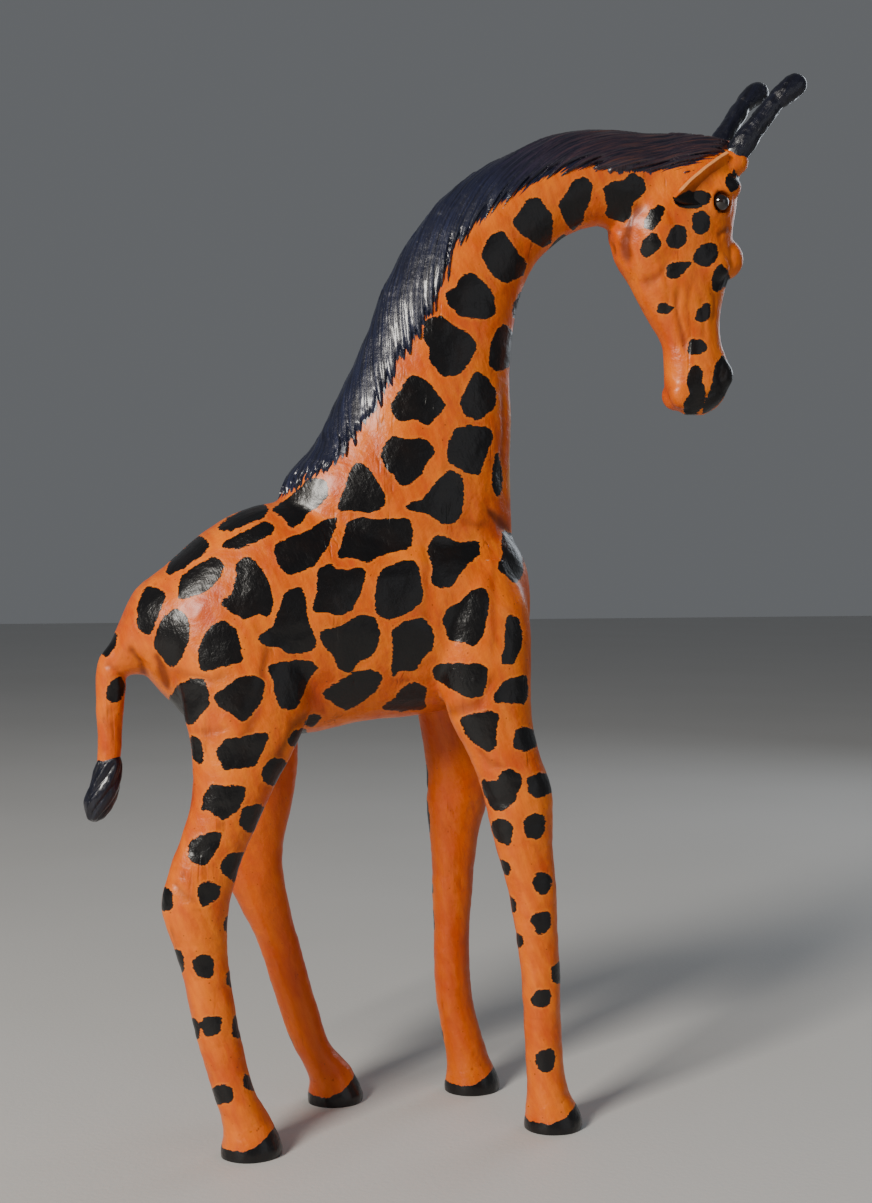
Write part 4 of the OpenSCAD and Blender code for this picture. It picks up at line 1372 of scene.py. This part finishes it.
class GIRAFFE_OT_ears(bpy.types.Operator):
    """Cut, cup and edge the two leather ears"""

    bl_idname = "giraffe.ears"
    bl_label = "Ears"

    def execute(self, context):
        finish = ear_leather()
        thickness = context.scene.giraffe_sizes.ear_thickness
        out = np.cross(EAR_ACROSS, EAR_ALONG)
        for name, side in (("right_ear", RIGHT), ("left_ear", LEFT)):
            deselect_all()
            bpy.ops.mesh.primitive_grid_add(x_subdivisions=40, y_subdivisions=20, size=2)
            ear = bpy.context.object
            ear.name = name + "_leather"
            flat = coords(ear.data) * MM
            s, t = flat[:, 0] * 0.5 + 0.5, flat[:, 1]
            width = EAR_WIDTH * np.sin(np.pi * (0.10 + 0.895 * s) ** 0.8) ** 0.75
            drop = width * (1 - t) / 2 - EAR_BOW * np.sin(np.pi * s)
            cup = EAR_CUP * (1 - t**2) * ease(1.1, 0.6, s)
            points = (
                EAR_ROOT + EAR_ALONG * (EAR_LENGTH * s)[:, None]
                - EAR_ACROSS * drop[:, None] + out * cup[:, None]
            )
            points += out * (cloud(points, 9, 30) * 0.5)[:, None]
            # Shade painted into the cupped inside, darkest in the middle of the leaf.
            hollow_shade = ease(0.95, 0.3, np.abs(t)) * ease(0.0, 0.3, s)
            # Black low near the tip: partly a painted patch, partly painted shade.
            tip = ease(0.4, 0.9, s) * 3 - 1.6 - t * 2.2
            move_to(ear.data, points * (1, side, 1))
            write_value(ear.data, "hollow_shade", hollow_shade)
            write_value(ear.data, "patch", tip)
            # Pale band along the upper edge: raw cut leather and a painted highlight.
            write_value(ear.data, "cut", ease(0.93, 1.0, t) * ease(1.0, 0.8, s))
            choose(ear)
            bpy.ops.object.mode_set(mode="EDIT")
            bpy.ops.mesh.select_all(action="SELECT")
            bpy.ops.mesh.remove_doubles(threshold=0.05 * MM)
            bpy.ops.object.mode_set(mode="OBJECT")
            apply_modifier(ear, "SOLIDIFY", thickness=thickness, offset=0, use_rim=True)
            bpy.ops.object.mode_set(mode="EDIT")
            bpy.ops.mesh.select_all(action="SELECT")
            bpy.ops.mesh.normals_make_consistent(inside=False)
            bpy.ops.object.mode_set(mode="OBJECT")
            edges = {"limit_method": "ANGLE", "angle_limit": math.radians(50)}
            apply_modifier(ear, "BEVEL", width=0.35 * MM, segments=2, **edges)
            ear.data.materials.clear()
            ear.data.materials.append(finish)
            smooth_by_angle(ear, 60)
            hand_over(ear, "orange_leather", name)
        return {"FINISHED"}


class GIRAFFE_OT_eyes(bpy.types.Operator):
    """Set the two glass eyes in their sockets"""

    bl_idname = "giraffe.eyes"
    bl_label = "Eyes"

    def execute(self, context):
        radius = context.scene.giraffe_sizes.eye_diameter / 2
        finish = eye_glass()
        for name, side in (("right_eye", RIGHT), ("left_eye", LEFT)):
            deselect_all()
            place = EYE * (1, side, 1) * MM
            bpy.ops.mesh.primitive_uv_sphere_add(segments=48, ring_count=24, radius=radius, location=place)
            eye = bpy.context.object
            eye.name = name + "_glass"
            eye.rotation_euler = (math.radians(90), 0, 0)
            settle(eye)
            points, directions = coords(eye.data), normals(eye.data)
            away = (points - EYE * (1, side, 1)) / (radius / MM)
            bulge = 0.22 * ease(0.75, 1.0, away[:, 1] * side)
            move_to(eye.data, points + directions * (bulge + cloud(points, 6, 41) * 0.05)[:, None])
            eye.data.materials.append(finish)
            smooth_by_angle(eye, 80)
            hand_over(eye, "glass_eye", name)
        return {"FINISHED"}


TUFT = (
    (-153.2, 0, 161, 186, 4.2, 4.2), (-153.5, 0, 158, 188, 5.4, 5.2), (-154.5, 0, 152, 196, 6.6, 6.0),
    (-156, 0, 146, 196, 7.4, 6.6), (-157.4, 0, 141, 186, 6.4, 6.0), (-158.4, 0, 137, 182, 4.8, 4.5),
    (-159, 0, 134.3, 180, 3.0, 2.8), (-159.2, 0, 133.2, 180, 0.6, 0.6),
)


class GIRAFFE_OT_tuft(bpy.types.Operator):
    """Twist the leather tuft at the tail's end"""

    bl_idname = "giraffe.tuft"
    bl_label = "Tail Tuft"

    def execute(self, context):
        tuft = loft("tail_tuft_leather", TUFT, sides=48, gap=0.8)
        apply_modifier(tuft, "SUBSURF", levels=1, render_levels=1)
        points, directions = coords(tuft.data), normals(tuft.data)
        heart = np.array(fair(TUFT, 1.0))
        place = np.interp(points[:, 2], heart[::-1, 2], heart[::-1, 0])
        around = np.arctan2(points[:, 1], points[:, 0] - place)
        down = (160 - points[:, 2]) / 27
        inside = ease(0.0, 0.12, down) * ease(1.02, 0.9, down)
        twist = np.sin(around * 3 + down * 7.5)
        fine = np.sin(around * 11 + down * 16 + 2 * twist)
        strands = (0.75 * np.abs(twist) ** 0.8 - 0.45) * inside
        relief = strands + 0.10 * fine * inside + cloud(points, 3, 50) * 0.12
        move_to(tuft.data, points + directions * relief[:, None])
        tuft.data.materials.append(black_leather("tuft_black", 5.0))
        smooth_by_angle(tuft, 80)
        hand_over(tuft, "black_leather", "tail_tuft")
        return {"FINISHED"}


class GIRAFFE_OT_core(bpy.types.Operator):
    """Finish the wooden core, its dowels, the pins and the tail's wire"""

    bl_idname = "giraffe.core"
    bl_label = "Core"

    def execute(self, context):
        softwood = bare_wood("carved_softwood", (0.62, 0.42, 0.22), (0.40, 0.23, 0.10), 90)
        dowel = bare_wood("dowel_wood", (0.70, 0.52, 0.32), (0.50, 0.33, 0.17), 80)
        steel = steel_wire()
        for name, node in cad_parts.items():
            finish = None
            if name.endswith("_core"):
                finish = softwood
            elif "dowel" in name:
                finish = dowel
            elif "pins" in name or "wire" in name:
                finish = steel
            if finish:
                node.data.materials.clear()
                node.data.materials.append(finish)
        return {"FINISHED"}


# ---- Stage ----
def pale_floor():
    """Matt pale floor with faint clouding."""
    finish = Finish("pale_floor")
    share = finish.step(finish.noise(3, 3), -1.0, 1.0)
    colour = finish.blend(share, (0.60, 0.59, 0.57), (0.63, 0.62, 0.605))
    grain = finish.emboss(finish.noise(400, 3), 0.05)
    return finish.done(Base_Color=colour, Roughness=0.55 + share * 0.05, Normal=grain)


def add_light(name, place, target, size, energy, colour):
    """A soft square light that shines at a point."""
    light = bpy.data.lights.new(name, "AREA")
    light.size, light.energy, light.color = size, energy, colour
    lamp = bpy.data.objects.new(name, light)
    bpy.context.collection.objects.link(lamp)
    lamp.location = place
    lamp.rotation_euler = (Vector(target) - Vector(place)).to_track_quat("-Z", "Y").to_euler()
    return lamp


class GIRAFFE_OT_stage(bpy.types.Operator):
    """Lay the floor and place the lights and the camera"""

    bl_idname = "giraffe.stage"
    bl_label = "Stage"

    def execute(self, context):
        deselect_all()
        bpy.ops.mesh.primitive_plane_add(size=12, location=(0, 0, 0))
        floor = bpy.context.object
        floor.name = "floor"
        floor.data.materials.append(pale_floor())
        world = bpy.data.worlds.new("studio")
        world.use_nodes = True
        sky = world.node_tree.nodes["Background"]
        sky.inputs["Color"].default_value = (0.86, 0.90, 0.95, 1)
        sky.inputs["Strength"].default_value = 0.15
        context.scene.world = world
        middle = (0, 0, 0.25)
        add_light("key", (-1.25, -1.0, 1.1), middle, 0.42, 38, (1.0, 0.95, 0.87))
        add_light("fill", (0.9, -1.3, 0.5), middle, 1.0, 1.6, (0.95, 0.97, 1.0))
        add_light("rim", (1.0, 0.75, 0.75), middle, 0.6, 3.0, (0.85, 0.92, 1.0))
        lens = bpy.data.cameras.new("camera")
        lens.lens = 50.87
        lens.sensor_width = 36
        lens.clip_start = 0.01
        camera = bpy.data.objects.new("camera", lens)
        context.collection.objects.link(camera)
        camera.location = (-0.205, -0.723, 0.2455)
        camera.rotation_euler = (math.radians(88.6), 0, math.radians(-15))
        context.scene.camera = camera
        return {"FINISHED"}


class GIRAFFE_PT_panel(bpy.types.Panel):
    """Steps that build the figure"""

    bl_label = "Leather Giraffe"
    bl_idname = "GIRAFFE_PT_panel"
    bl_space_type = "VIEW_3D"
    bl_region_type = "UI"
    bl_category = "Giraffe"

    def draw(self, context):
        for name in GiraffeSizes.__annotations__:
            self.layout.prop(context.scene.giraffe_sizes, name)
        for name in GiraffePaint.__annotations__:
            self.layout.prop(context.scene.giraffe_paint, name)
        for step in STEPS:
            self.layout.operator(step.bl_idname)


STEPS = (
    GIRAFFE_OT_skin, GIRAFFE_OT_hooves, GIRAFFE_OT_mane, GIRAFFE_OT_horns, GIRAFFE_OT_ears,
    GIRAFFE_OT_eyes, GIRAFFE_OT_tuft, GIRAFFE_OT_core, GIRAFFE_OT_stage,
)
CLASSES = (GiraffeSizes, GiraffePaint, *STEPS, GIRAFFE_PT_panel)


def register():
    for item in CLASSES:
        bpy.utils.register_class(item)
    bpy.types.Scene.giraffe_sizes = PointerProperty(type=GiraffeSizes)
    bpy.types.Scene.giraffe_paint = PointerProperty(type=GiraffePaint)


def unregister():
    del bpy.types.Scene.giraffe_paint
    del bpy.types.Scene.giraffe_sizes
    for item in reversed(CLASSES):
        bpy.utils.unregister_class(item)


def main():
    """Register the classes, build every piece in order, then remove the skin form."""
    register()
    for step in STEPS:
        group, name = step.bl_idname.split(".")
        getattr(getattr(bpy.ops, group), name)()
    bpy.data.objects.remove(skin_form())


if __name__ == "__main__":
    main()
